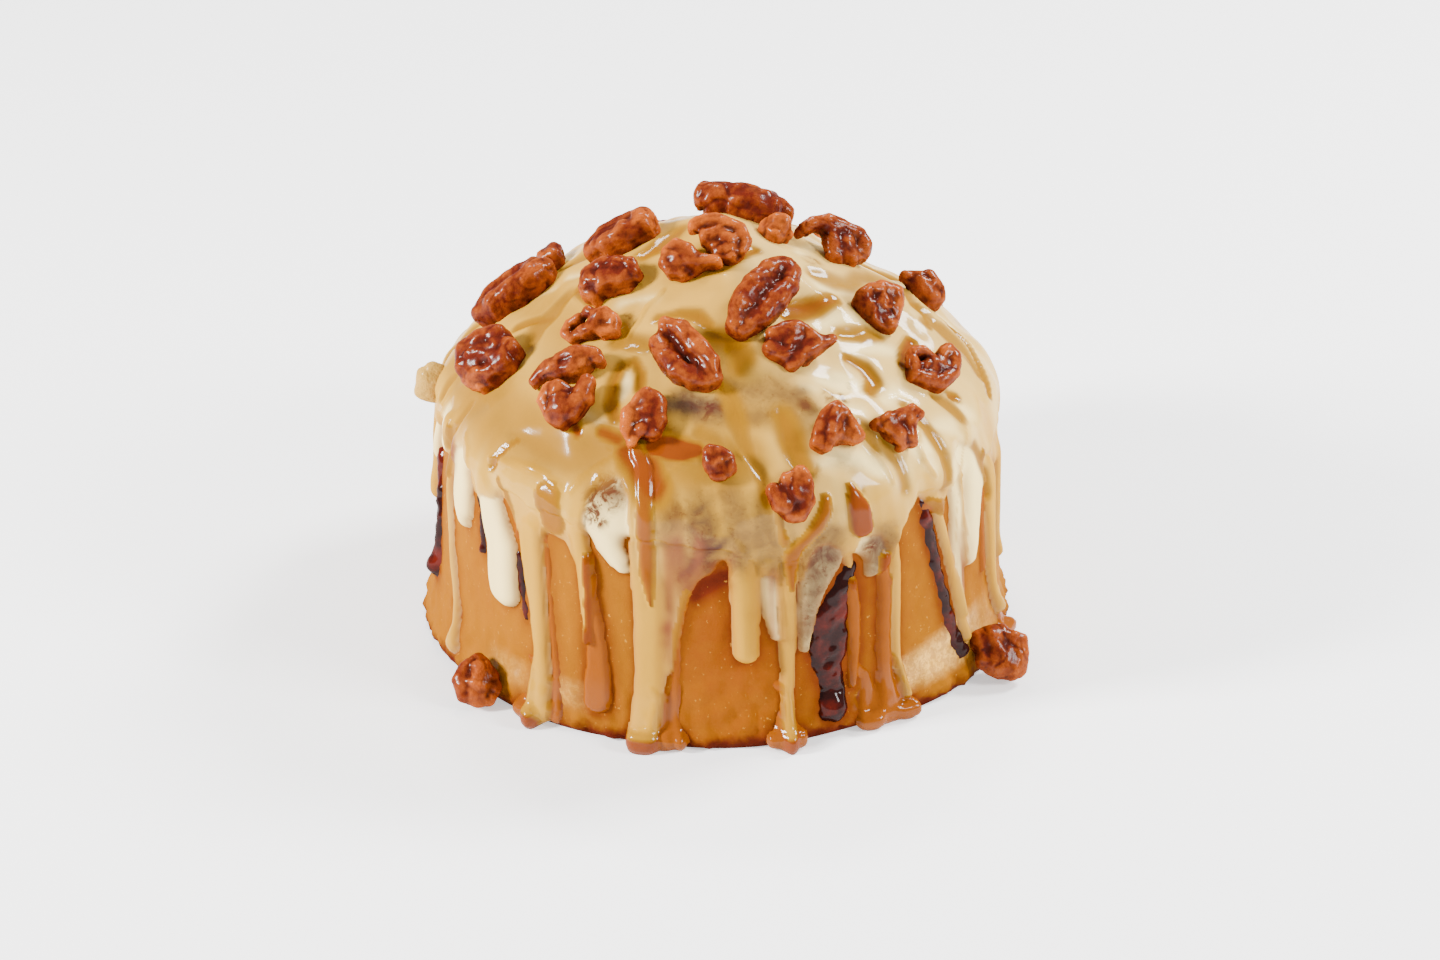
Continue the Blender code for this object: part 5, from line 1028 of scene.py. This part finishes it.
# Pecans: halves and broken pieces candied in sugar, pressed into the icing while it was wet. Each
# kernel is built of lobes, strings of balls (x, y, z, radius) that blend where they meet, after a
# number that says how much the lobe glows amber. Its x runs along it and its z out of the icing.
KERNELS = {
    "front_half": (
        (0, (-8.9, 1.5, -0.2, 1.7), (-5.1, 3.0, 0.8, 2.0), (0.1, 3.2, 1.5, 2.1), (5.7, 2.4, 1.5, 2.0),
         (9.3, 0.6, 0.9, 1.7)),
        (0, (-8.8, -0.7, -0.7, 1.7), (-4.9, -2.5, 0.4, 1.9), (0.2, -2.9, 1.1, 2.1), (5.1, -3.0, 1.1, 1.9),
         (8.9, -1.8, 0.6, 1.6)),
        (0.3, (-3.9, 0.9, -1.1, 2.3), (5.1, 0.0, -0.6, 2.3)),
    ),
    "split_half": (
        (0.2, (-6.9, 0.9, 0.7, 1.6), (-3.6, 2.2, 1.4, 1.9), (1.5, 2.2, 1.4, 2.0), (5.7, 1.8, 0.8, 1.9),
         (8.1, 0.6, -0.1, 1.7)),
        (0, (-5.1, -3.1, 0.1, 1.8), (-1.2, -3.9, 0.7, 2.0), (2.5, -4.1, 0.6, 2.1), (5.5, -3.2, 0.2, 1.9),
         (7.5, -1.7, -0.3, 1.5)),
        (0, (-2.6, -0.5, -1.3, 2.0), (3.9, -0.1, -1.6, 2.1)),
    ),
    "crown_half": (
        (0.1, (9.0, 0.2, -0.2, 1.7), (6.0, 0.6, 0.4, 2.4), (1.5, 0.9, 0.7, 2.9), (-3.5, 0.8, 0.6, 2.8),
         (-8.6, 0.2, -0.3, 1.9)),
        (0, (8.6, -2.0, 0.6, 1.5), (7.2, -2.6, -0.6, 1.6)),
        (0, (4.2, -2.3, 1.1, 1.8), (3.6, -3.2, -0.4, 1.8)),
        (0, (-0.6, -2.2, 1.3, 1.9), (-1.2, -3.4, -0.2, 1.8)),
        (0, (-5.4, -2.0, 0.9, 1.8), (-6.2, -2.8, -0.5, 1.7)),
        (0, (2.0, 2.8, 0.3, 2.2), (-5.0, 2.6, 0.0, 2.0), (7.0, 2.2, -0.2, 1.5)),
    ),
    "left_high": (
        (0, (-8.2, 0.6, -0.3, 1.3), (-4.5, 2.4, 0.7, 2.1), (1.0, 2.7, 1.1, 2.3), (6.0, 2.0, 0.8, 2.1),
         (8.4, 0.9, 0.2, 1.2)),
        (0.1, (-8.2, -0.6, -0.3, 1.3), (-4.5, -2.5, 0.5, 2.1), (1.0, -2.9, 0.9, 2.3), (5.2, -2.4, 0.7, 2.2),
         (7.6, -1.6, 0.2, 1.5)),
        (0.9, (7.2, 0.2, 0.6, 1.4), (8.6, -0.2, -0.6, 1.2)),
        (0, (-5.0, 0.0, -1.2, 2.2), (5.0, 0.0, -1.2, 2.4)),
    ),
    "left_top": (
        (0, (-6.8, 0.8, -0.2, 1.4), (-3.5, 2.2, 0.6, 2.0), (1.5, 2.5, 0.9, 2.1), (5.0, 1.8, 1.0, 2.0)),
        (0.4, (-6.4, -1.0, -0.4, 1.5), (-3.0, -2.4, 0.4, 1.9), (0.4, -2.7, 0.7, 1.8)),
        (0, (1.6, -2.2, 0.9, 1.9), (3.2, -2.4, 0.6, 1.7)),
        (0.7, (5.4, -1.2, 1.0, 2.0), (6.0, 0.2, 0.6, 2.1)),
        (0, (-3.0, 0.0, -1.0, 2.2), (4.0, 0.0, -1.0, 2.4)),
    ),
    "left_mid": (
        (0, (-3.8, 2.2, 1.3, 1.7), (0.5, 2.7, 1.9, 1.8), (4.7, 2.2, 1.1, 1.6), (5.7, 0.9, 0.2, 1.3)),
        (0.1, (-4.1, -0.3, 0.6, 1.9), (-0.7, -0.8, 0.6, 2.3), (2.9, -0.4, 0.1, 2.1)),
        (0.9, (-4.5, -2.1, -0.4, 1.3), (-3.1, -3.1, -1.1, 1.2)),
    ),
    "right_hook": (
        (0.1, (7.4, -0.6, -0.4, 1.3), (5.8, -1.3, 1.1, 1.5), (2.3, -1.9, 2.8, 1.6), (-1.5, -2.2, 2.8, 1.6),
         (-5.1, -1.8, 2.8, 1.6), (-6.8, -0.3, 1.7, 1.4)),
        (0.4, (1.0, 0.6, -0.2, 1.4), (-0.3, 2.3, -2.1, 1.6), (-3.9, 2.0, -1.3, 1.7), (-6.2, 0.7, 0.3, 1.4)),
        (0.1, (-2.2, 0.3, 0.4, 1.7),),
    ),
    "centre_pair": (
        (0.1, (-5.0, 2.8, 0.9, 1.7), (-1.8, 3.6, 1.5, 1.8), (1.2, 3.0, 1.5, 1.6), (2.5, 1.4, 0.9, 1.4)),
        (0, (-6.3, 0.0, 0.0, 1.4), (-3.8, -1.6, -0.4, 1.4)),
        (0.2, (-1.9, -3.4, -0.7, 1.2), (0.1, -2.1, 0.3, 1.3), (3.4, -0.2, 1.0, 1.3), (6.6, 1.5, 1.0, 1.1)),
        (0, (-2.0, 0.9, 0.2, 2.0), (1.5, -0.1, 0.1, 1.4)),
    ),
    "crown_chip": (
        (1, (0.0, 0.0, 1.6, 1.0), (-1.8, -1.6, -1.2, 1.2)),
        (1, (0.0, 0.0, 1.6, 1.0), (2.4, 0.4, -1.0, 1.2)),
        (0.8, (0.0, 0.0, 1.2, 1.1), (-0.4, 1.8, -1.0, 1.2)),
        (0.7, (0.0, 0.0, -0.8, 2.0),),
    ),
    "crown_curl": (
        (0.7, (-5.3, 2.8, 0.9, 1.1), (-2.6, 2.9, 1.7, 1.3), (0.6, 1.6, 1.6, 1.4), (3.3, -0.8, 0.9, 1.4),
         (3.8, -3.5, -0.2, 1.3), (2.3, -5.1, -1.0, 1.0)),
        (0.4, (-3.7, -0.3, 0.3, 1.2), (-1.0, -0.7, 0.8, 1.3), (0.6, -3.0, 0.2, 1.4),
         (-0.1, -5.8, -1.2, 1.3)),
        (0.2, (-2.4, -2.7, -1.0, 1.5), (-2.5, -4.4, -1.8, 1.2)),
    ),
    "crown_crumb": (
        (0.6, (-2.8, 1.4, 1.4, 1.1), (-1.6, 3.1, 2.0, 1.2), (1.2, 3.2, 1.5, 1.2), (2.8, 1.8, 0.6, 1.1)),
        (0.4, (-2.4, -0.9, 0.2, 1.2), (-0.6, -1.8, -0.5, 1.2), (1.6, -1.5, -1.1, 1.0)),
        (0.1, (-0.1, 0.7, 0.5, 1.8), (3.1, 1.0, -0.2, 1.5)),
        (0.8, (4.9, 2.6, 0.1, 1.2), (7.1, 3.5, -0.4, 1.1)),
    ),
    "left_small": (
        (0.9, (-2.6, -1.0, 0.2, 1.2), (-0.4, -1.6, 0.5, 1.4), (1.6, -1.0, 0.3, 1.3)),
        (0, (-3.0, 1.4, 0.1, 1.1), (0.0, 1.5, 0.8, 1.4), (3.0, 0.8, 0.2, 1.3)),
        (0.2, (0.0, 0.0, -0.6, 2.0),),
    ),
    "right_mid": (
        (0.6, (3.2, -2.6, 0.9, 1.3), (-0.3, -3.7, 2.4, 1.4), (-4.0, -3.1, 2.6, 1.3)),
        (0.1, (3.8, -1.0, -0.1, 1.4), (1.9, 2.1, -0.8, 1.4), (-1.5, 3.6, -1.1, 1.3)),
        (0.4, (-4.1, -1.7, 1.9, 1.2), (-3.6, 0.8, 0.6, 1.3), (-2.9, 3.0, -0.7, 1.1)),
        (0, (-0.3, -0.4, 0.6, 1.9),),
    ),
    "right_far": (
        (0.1, (4.8, -0.9, 0.2, 0.9), (2.3, -0.9, 0.8, 1.2)),
        (0.1, (-0.3, -2.0, 2.7, 1.0), (-1.2, -0.8, 1.7, 1.4)),
        (0.2, (0.7, 0.2, -0.1, 1.9), (-1.9, 1.1, -0.8, 2.0)),
        (0.3, (-3.3, -0.3, 1.5, 1.0), (-4.3, 1.1, -0.1, 1.0)),
    ),
    "left_flat": (
        (0.6, (-2.8, 1.2, 0.8, 0.9), (-4.7, 0.2, 0.7, 1.0), (-5.2, -1.9, 0.0, 1.0), (-3.4, -2.7, -0.5, 1.1),
         (-1.3, -1.3, -0.1, 1.2)),
        (0, (-0.4, 2.5, 1.4, 1.0), (1.5, 1.5, 0.9, 1.3), (0.5, -1.0, 0.0, 1.4)),
        (0.8, (3.2, 2.2, 0.7, 1.0), (5.3, 0.8, 0.1, 1.1), (5.3, -1.1, -0.6, 1.1), (3.1, -1.8, -0.6, 1.0)),
        (1, (3.0, 0.9, -0.5, 1.2),),
    ),
    "left_low": (
        (0, (-4.1, 2.5, 2.2, 2.1), (0.3, 3.2, 2.5, 2.2), (4.2, 3.3, 1.7, 2.0)),
        (0, (0.8, -3.8, -1.2, 2.0), (4.5, -2.9, -0.8, 2.2), (6.3, -0.4, -0.3, 2.0)),
        (0, (-4.7, -0.5, 0.6, 2.1), (-1.7, -2.8, -0.7, 2.0)),
        (0.9, (-4.8, -3.2, -1.0, 1.1), (-2.3, -4.9, -2.3, 1.2)),
        (0, (-1.2, 0.6, 0.8, 2.6), (2.8, 0.2, 0.2, 2.6)),
    ),
    "right_horse": (
        (0.3, (-3.9, 3.1, 0.5, 1.0), (-1.5, 3.0, 1.2, 1.0), (-0.1, 1.7, 1.0, 0.9), (-0.9, 0.4, 0.0, 0.9)),
        (0.2, (-4.8, 1.1, -0.3, 1.0), (-5.3, -1.5, -1.3, 1.2), (-2.7, -3.1, -1.0, 1.5),
         (1.1, -3.9, -0.4, 1.6), (4.5, -2.2, 0.9, 1.5), (5.8, 0.7, 2.1, 1.4), (4.8, 2.5, 2.3, 1.1)),
        (0.5, (3.4, 2.2, 1.7, 0.9), (2.2, -0.3, 0.5, 1.1)),
        (0, (-1.6, -0.4, -1.4, 2.0), (2.4, -0.6, -0.9, 1.9)),
    ),
    "pair_upper": (
        (0, (-7.1, -3.0, -0.2, 1.1), (-5.5, -1.8, 0.2, 1.2), (-4.0, -0.3, 0.7, 1.2)),
        (0.1, (-2.9, -1.5, 0.0, 1.7), (0.9, -1.6, 0.0, 1.9)),
        (0.3, (-1.1, 0.8, 1.3, 1.2), (2.5, 1.5, 1.5, 1.3), (6.2, 1.4, 0.7, 1.1), (6.9, -0.1, -0.3, 1.1)),
        (1, (3.5, -0.2, -0.1, 1.7),),
    ),
    "pair_lower": (
        (0.8, (-3.0, 4.5, 1.6, 1.2), (-4.3, 2.3, 1.2, 1.3), (-3.4, -1.0, 0.1, 1.3)),
        (0, (-0.4, 3.2, 1.5, 2.1), (-1.3, -0.5, 0.3, 2.1), (-1.7, -2.4, -0.6, 1.3)),
        (0.2, (5.1, 3.9, 1.1, 1.6), (3.9, 1.2, 0.6, 1.9), (0.8, -1.2, 0.0, 1.7)),
    ),
    "front_low": (
        (0.9, (3.0, 1.1, 1.2, 1.1), (0.1, 2.6, 0.9, 1.3), (-2.6, 2.4, 0.3, 1.3), (-5.2, 0.7, -0.5, 1.1)),
        (0.1, (4.7, 0.0, 1.2, 1.4), (3.7, -2.4, 0.8, 1.5), (0.6, -3.5, 0.2, 1.5), (-1.9, -3.2, -0.4, 1.4)),
        (0, (1.6, -0.9, 0.5, 1.8), (-1.9, -1.1, -0.2, 1.7)),
    ),
    "front_right": (
        (0.4, (3.4, 2.0, 1.1, 1.2), (0.8, 2.9, 0.6, 1.3), (-1.8, 2.5, -0.1, 1.3), (-4.6, 1.9, -0.7, 1.3),
         (-4.7, -0.1, -1.0, 1.1)),
        (0, (1.0, 1.4, 1.0, 1.8), (-1.9, 0.1, 0.2, 1.9)),
        (0.2, (3.0, -0.2, 1.0, 1.2), (1.8, -2.8, 0.6, 1.2), (1.1, -4.8, 0.2, 1.0)),
        (0.9, (-0.2, -3.9, -0.2, 1.2), (-0.3, -2.5, -0.2, 1.2)),
    ),
    "right_low": (
        (0.2, (-3.6, 3.3, -0.1, 0.9), (-1.2, 2.8, 0.6, 0.9)),
        (0.4, (-2.4, 1.5, 0.0, 1.3), (-1.6, -1.1, -0.2, 1.6), (-1.9, -3.0, -0.8, 1.0)),
        (0.1, (0.8, 1.9, 1.0, 1.1), (3.8, 1.3, 1.5, 1.2), (5.1, -0.4, 1.3, 1.0)),
        (0.3, (2.0, -0.5, 0.7, 1.5), (0.6, -2.5, 0.1, 1.3), (0.6, -4.2, -0.3, 0.9)),
    ),
    "front_bead": (
        (0.1, (-2.1, 2.6, 0.7, 1.0), (-2.2, 0.1, 0.2, 1.1), (-1.1, -2.0, -0.4, 1.1)),
        (0.2, (0.1, 2.0, 0.7, 1.1), (1.9, 0.6, 0.4, 1.1), (2.2, -1.1, -0.1, 1.0)),
        (0, (-0.3, 0.0, 0.4, 1.6), (0.4, -1.8, -0.4, 1.2)),
    ),
    "front_drop": (
        (0.5, (4.7, 0.2, 0.8, 1.3), (2.3, 1.7, 0.8, 1.4)),
        (0.2, (2.9, -1.7, 1.0, 1.5), (0.4, -3.6, 0.5, 1.6), (-2.5, -3.6, -0.2, 1.5)),
        (0.1, (-1.1, 3.1, 0.4, 1.6), (-2.6, 0.7, 0.3, 1.9), (-3.2, -2.3, -0.3, 1.6)),
        (0, (0.1, -0.8, 0.3, 1.8),),
    ),
    "left_edge": (
        (0, (-2.6, 0.2, 0.0, 2.3), (1.0, -0.2, 0.4, 2.5), (2.8, 0.2, 0.0, 1.9)),
    ),
    "foot_left": (
        (0, (-1.1, 2.5, 3.8, 1.3), (-2.6, 0.2, 2.4, 1.5), (-2.6, -1.9, 0.4, 1.7), (-1.2, -2.8, -2.0, 1.5)),
        (0.8, (0.9, 1.0, 2.8, 1.8), (1.5, -1.1, 0.7, 2.0), (1.4, -2.2, -2.1, 1.7)),
        (0.5, (2.5, 1.8, 1.1, 1.5), (3.8, 0.7, -1.0, 1.5), (3.4, -0.7, -2.7, 1.4)),
        (0, (0.1, 0.7, -0.6, 2.9),),
    ),
    "foot_right": (
        (0.4, (2.8, -0.1, 3.6, 1.3), (0.4, -0.3, 1.6, 1.6), (-1.3, -0.2, -0.7, 1.6)),
        (0.5, (1.6, -2.3, 2.8, 1.3), (-0.5, -2.3, 0.6, 1.5), (-1.8, -2.0, -1.9, 1.6)),
        (0.6, (1.3, -4.5, 2.1, 1.1), (-0.4, -4.6, 0.0, 1.3), (-1.8, -3.6, -2.5, 1.5)),
        (0, (1.1, 4.2, 2.4, 2.4), (1.3, 2.5, 2.7, 2.8)),
        (0.2, (-1.7, 3.2, -0.6, 2.4), (-2.4, 1.2, -1.9, 2.2)),
        (0.6, (-2.7, -1.5, -3.3, 1.4),),
        (0, (0.9, 0.0, -0.5, 3.6),),
    ),
}
KERNEL_BLEND = 0.8
KERNEL_SAG = 0.45
KERNEL_PITCH = 0.32
FIELD_MARGIN = 2.5
WRINKLE_REACH = 1.4
CREST_ROUNDS = 9
CREST_HEIGHT = 0.16
ICING_DEPTH = 2.3
PECAN_SINK = 1.0
PECAN_ROOT = 0.3
FLOOR_GAP = 0.05
# Where they lie: kernel, azimuth, fall, height, and the turn of the long axis from level.
PECANS = (
    ("front_half", 23.4, 24.5, 7.6, 39),
    ("split_half", -8.9, 35.8, 7.6, -43),
    ("crown_half", 146.0, 10.5, 8.0, 34),
    ("left_high", -96.7, 44.2, 8.0, 106),
    ("left_top", -95.0, 17.9, 7.8, 98),
    ("left_mid", -57.9, 24.4, 7.2, 46),
    ("right_hook", 100.9, 24.7, 7.6, 92),
    ("centre_pair", 28.9, 36.7, 7.0, -14),
    ("crown_chip", 96.0, 12.4, 6.4, 60),
    ("crown_curl", 14.0, 6.6, 7.0, 8),
    ("crown_crumb", -26.0, 15.2, 6.6, -4),
    ("left_small", -114.0, 38.6, 6.0, 42),
    ("right_mid", 71.4, 36.8, 7.0, 130),
    ("right_far", 100.2, 46.4, 6.6, 92),
    ("left_flat", -47.1, 34.3, 6.2, 28),
    ("left_low", -70.7, 52.4, 8.6, 60),
    ("right_horse", 66.2, 51.9, 7.0, -30),
    ("pair_upper", -42.6, 44.2, 7.4, 30),
    ("pair_lower", -35.6, 52.4, 7.4, 34),
    ("front_low", -17.1, 50.8, 6.6, 86),
    ("front_right", 28.1, 54.6, 7.2, 42),
    ("right_low", 43.3, 58.3, 6.4, 10),
    ("front_bead", 1.2, 58.6, 4.6, 0),
    ("front_drop", 14.6, 64.7, 6.6, 56),
    ("left_edge", -92.5, 68.4, 5.6, 86),
    ("right_mid", 172.0, 26.0, 7.0, 20),
    ("left_top", 158.7, 59.9, 7.8, 150),
    ("centre_pair", 196.4, 55.3, 7.0, 45),
    ("right_horse", 127.2, 72.8, 7.0, 15),
    ("front_right", 149.5, 71.6, 7.2, 70),
    ("right_low", 170.9, 70.9, 6.4, 30),
    ("pair_lower", 183.8, 64.5, 7.4, 110),
    ("left_mid", 202.1, 68.6, 7.2, 10),
    ("front_low", 215.9, 69.0, 6.6, 80),
    ("left_low", 232.1, 72.5, 8.6, 140),
)
# Two slid down to the foot: kernel, azimuth, distance from the middle, height and turn.
FOOT_PECANS = (
    ("foot_left", -48.4, 65.6, 4.9, 20),
    ("foot_right", 60.0, 67.4, 5.9, 35),
)


def kernel_lobes(points, kernel, sag):
    """Distance from points to each lobe of a kernel; below its middle a lobe sags."""
    distances = []
    for lobe in kernel:
        balls = np.array(lobe[1:])
        nearest = np.full(len(points), np.inf)
        for start, end in zip(balls, balls[1:] if len(balls) > 1 else balls):
            way = (end - start)[:3]
            along = np.clip((points - start[:3]) @ way / max(way @ way, 0.000001), 0, 1)[:, None]
            off = points - start[:3] - way * along
            off[:, 2] *= np.where(off[:, 2] < 0, sag, 1.0)
            radius = start[3] + (end[3] - start[3]) * along[:, 0]
            nearest = np.minimum(nearest, np.linalg.norm(off, axis=1) - radius)
        distances.append(nearest)
    return np.array(distances)


def folds(points, number, narrow):
    """The folds that run along a candied kernel: 1 down the middle of each, 0 past its sides."""
    return np.maximum(0, 1 - np.abs(unevenness(points * (0.55, 1.0, 1.0), 5.2, 100 + number)) * narrow)


def wrinkles(points, number):
    """How far the folds and grain of a kernel stand in or out, in millimetres."""
    grain = 0.13 * unevenness(points, 3.6, 200 + number) + 0.03 * unevenness(points, 1.1, 300 + number)
    return 0.16 * folds(points, number, 4) - grain


def net(field, low, pitch):
    """A closed mesh where a grid of distances passes zero: a point in each mixed cell, a face across
    each mixed edge."""
    cells = [size - 1 for size in field.shape]
    total = np.zeros(cells + [3])
    count = np.zeros(cells)
    rings = []
    for axis in range(3):
        before = np.delete(field, -1, axis)
        after = np.delete(field, 0, axis)
        mixed = (before < 0) != (after < 0)
        corners = np.argwhere(mixed)
        spots = corners.astype(float)
        spots[:, axis] += before[mixed] / (before[mixed] - after[mixed])
        ring = []
        for across, up in ((0, 0), (1, 0), (1, 1), (0, 1)):
            cell = corners.copy()
            cell[:, (axis + 1) % 3] -= across
            cell[:, (axis + 2) % 3] -= up
            np.add.at(total, tuple(cell.T), spots)
            np.add.at(count, tuple(cell.T), 1)
            ring.append(cell)
        rings.append((ring, before[mixed] < 0))
    number = np.cumsum(count > 0).reshape(cells) - 1
    faces = []
    for ring, outward in rings:
        quads = np.array([number[tuple(cell.T)] for cell in ring]).T
        quads[~outward] = quads[~outward, ::-1]
        faces += quads.tolist()
    return low + pitch * total[count > 0] / count[count > 0][:, None], faces


def crests(points, faces):
    """How far each point stands proud of the mesh round it, or lies back in it, from -1 to 1."""
    quads = np.array(faces)
    corners = [points[corner] for corner in quads.T]
    across = np.cross(corners[2] - corners[0], corners[3] - corners[1])
    normals = np.zeros(points.shape)
    for corner in quads.T:
        np.add.at(normals, corner, across)
    normals /= np.linalg.norm(normals, axis=1)[:, None] + 0.000001
    pairs = np.concatenate([quads[:, [corner, corner - 3]] for corner in range(4)])
    count = np.bincount(pairs[:, 0], minlength=len(points))[:, None]
    smooth = points
    for step in range(CREST_ROUNDS):
        total = np.zeros(points.shape)
        np.add.at(total, pairs[:, 0], smooth[pairs[:, 1]])
        smooth = total / count
    proud = ((points - smooth) * normals).sum(axis=1)
    return np.clip((proud - np.median(proud)) / CREST_HEIGHT, -1, 1)


def kernel_shape(form, sag, base, number):
    """Points and faces of one kernel about its middle, cut flat at its base, with its amounts."""
    kernel = KERNELS[form]
    balls = np.array([ball for lobe in kernel for ball in lobe[1:]])
    low = (balls[:, :3] - balls[:, 3:] * (1, 1, 1 / sag)).min(axis=0) - FIELD_MARGIN
    high = (balls[:, :3] + balls[:, 3:]).max(axis=0) + FIELD_MARGIN
    low[2] = max(low[2], base - 3 * KERNEL_PITCH)
    axes = [np.arange(start, end, KERNEL_PITCH) for start, end in zip(low, high)]
    grid = np.stack(np.meshgrid(*axes, indexing="ij"), axis=-1)
    points = grid.reshape(-1, 3)
    lobes = kernel_lobes(points, kernel, sag)
    field = -KERNEL_BLEND * np.log(np.exp(-lobes / KERNEL_BLEND).sum(axis=0))
    close = np.abs(field) < WRINKLE_REACH
    field[close] += wrinkles(points[close], number)
    field = np.maximum(field, base - points[:, 2]).reshape(grid.shape[:3])
    points, faces = net(field, low, KERNEL_PITCH)
    lobes = kernel_lobes(points, kernel, sag)
    shares = np.exp(-lobes / KERNEL_BLEND)
    glow = np.array([lobe[0] for lobe in kernel])
    amber = glow @ shares / shares.sum(axis=0)
    # Darker between the lobes and along the folds: partly the kernel's own darker grooves and partly
    # painted shade in them.
    nearest = np.sort(np.vstack([lobes, lobes[:1] + 9]), axis=0)
    between = np.exp(-(nearest[1] - nearest[0]) / 0.3)
    crease = np.clip(0.6 * between + 0.3 * folds(points, number, 3), 0, 1)
    return points, faces, dict(amber=amber, crease=crease, crest=crests(points, faces))


CANDY_DARK_AND_SHADE = colour(44, 13, 8)
CANDY_BROWN = colour(83, 25, 12)
CANDY_AMBER = colour(172, 84, 23)
GLAZED_TAN = colour(178, 138, 62)
candy_paint, candy_shader, wire = new_paint(
    "candied_pecan", Specular_IOR_Level=0.0, Coat_IOR=1.45, Coat_Roughness=0.2)
# Lighter on the crests and darker in the hollows and creases: partly the kernel's own colour, partly
# painted highlight on the crests and painted shade in the hollows.
crest = wire.amount("crest")
tone = wire.noise(0.0045, 3, 0.6).fade(0.35, 0.75) * 0.4 + wire.amount("amber") * 0.6 + crest * 0.25
tone = (tone + (wire.noise(0.0015, 3) - 0.5) * 0.6).clamp()
candied = wire.blend(tone, CANDY_BROWN, CANDY_AMBER)
candied = wire.blend((wire.amount("crease") * 0.55 - crest * 0.5).clamp(), candied, CANDY_DARK_AND_SHADE)
candied = wire.blend(wire.amount("glazed"), candied, GLAZED_TAN)
connect(candy_shader, Base_Color=candied, Roughness=0.2 + wire.noise(0.0015, 3) * 0.25,
        Coat_Weight=0.08 + wire.noise(0.004, 2) * 0.28,
        Normal=wire.bump(wire.noise(0.0009, 4, 0.65), 0.0006, 0.7))


def lay_pecan(number, points, faces, amounts, glazed=0.0):
    """Adds a kernel whose points are in place, candied brown or glazed over."""
    amounts["glazed"] = np.full(len(points), glazed)
    pecan = add_piece(f"candied_{number:02d}", points, faces, candy_paint, "pecan", **amounts)
    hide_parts(f"pecan_{number:02d}")


for number, (form, azimuth, fall, height, turn) in enumerate(PECANS, start=1):
    points, faces, amounts = kernel_shape(form, KERNEL_SAG, -height / 2 - PECAN_ROOT, number)
    outward, upward = slope_out(fall)
    angle = math.radians(azimuth)
    tilt = math.radians(turn)
    across = np.array([math.cos(angle), math.sin(angle), 0])
    away = np.array([math.sin(angle), -math.cos(angle)])
    climb = np.append(away * -upward, outward)
    out = np.append(away * outward, upward)
    along = across * math.cos(tilt) + climb * math.sin(tilt)
    points = points @ np.array([along, np.cross(out, along), out])
    points += skin(azimuth, fall, ICING_DEPTH + height / 2 - PECAN_SINK)
    lay_pecan(number, points, faces, amounts, 1.0 if form == "left_edge" else 0.0)
for number, (form, azimuth, distance, level, turn) in enumerate(FOOT_PECANS, start=len(PECANS) + 1):
    points, faces, amounts = kernel_shape(form, 1.0, FLOOR_GAP - level, number)
    angle = math.radians(azimuth)
    tilt = math.radians(azimuth + turn)
    along = np.array([math.cos(tilt), math.sin(tilt), 0])
    up = np.array([0, 0, 1])
    points = points @ np.array([along, np.cross(up, along), up])
    points += (distance * math.sin(angle), -distance * math.cos(angle), level)
    lay_pecan(number, points, faces, amounts)
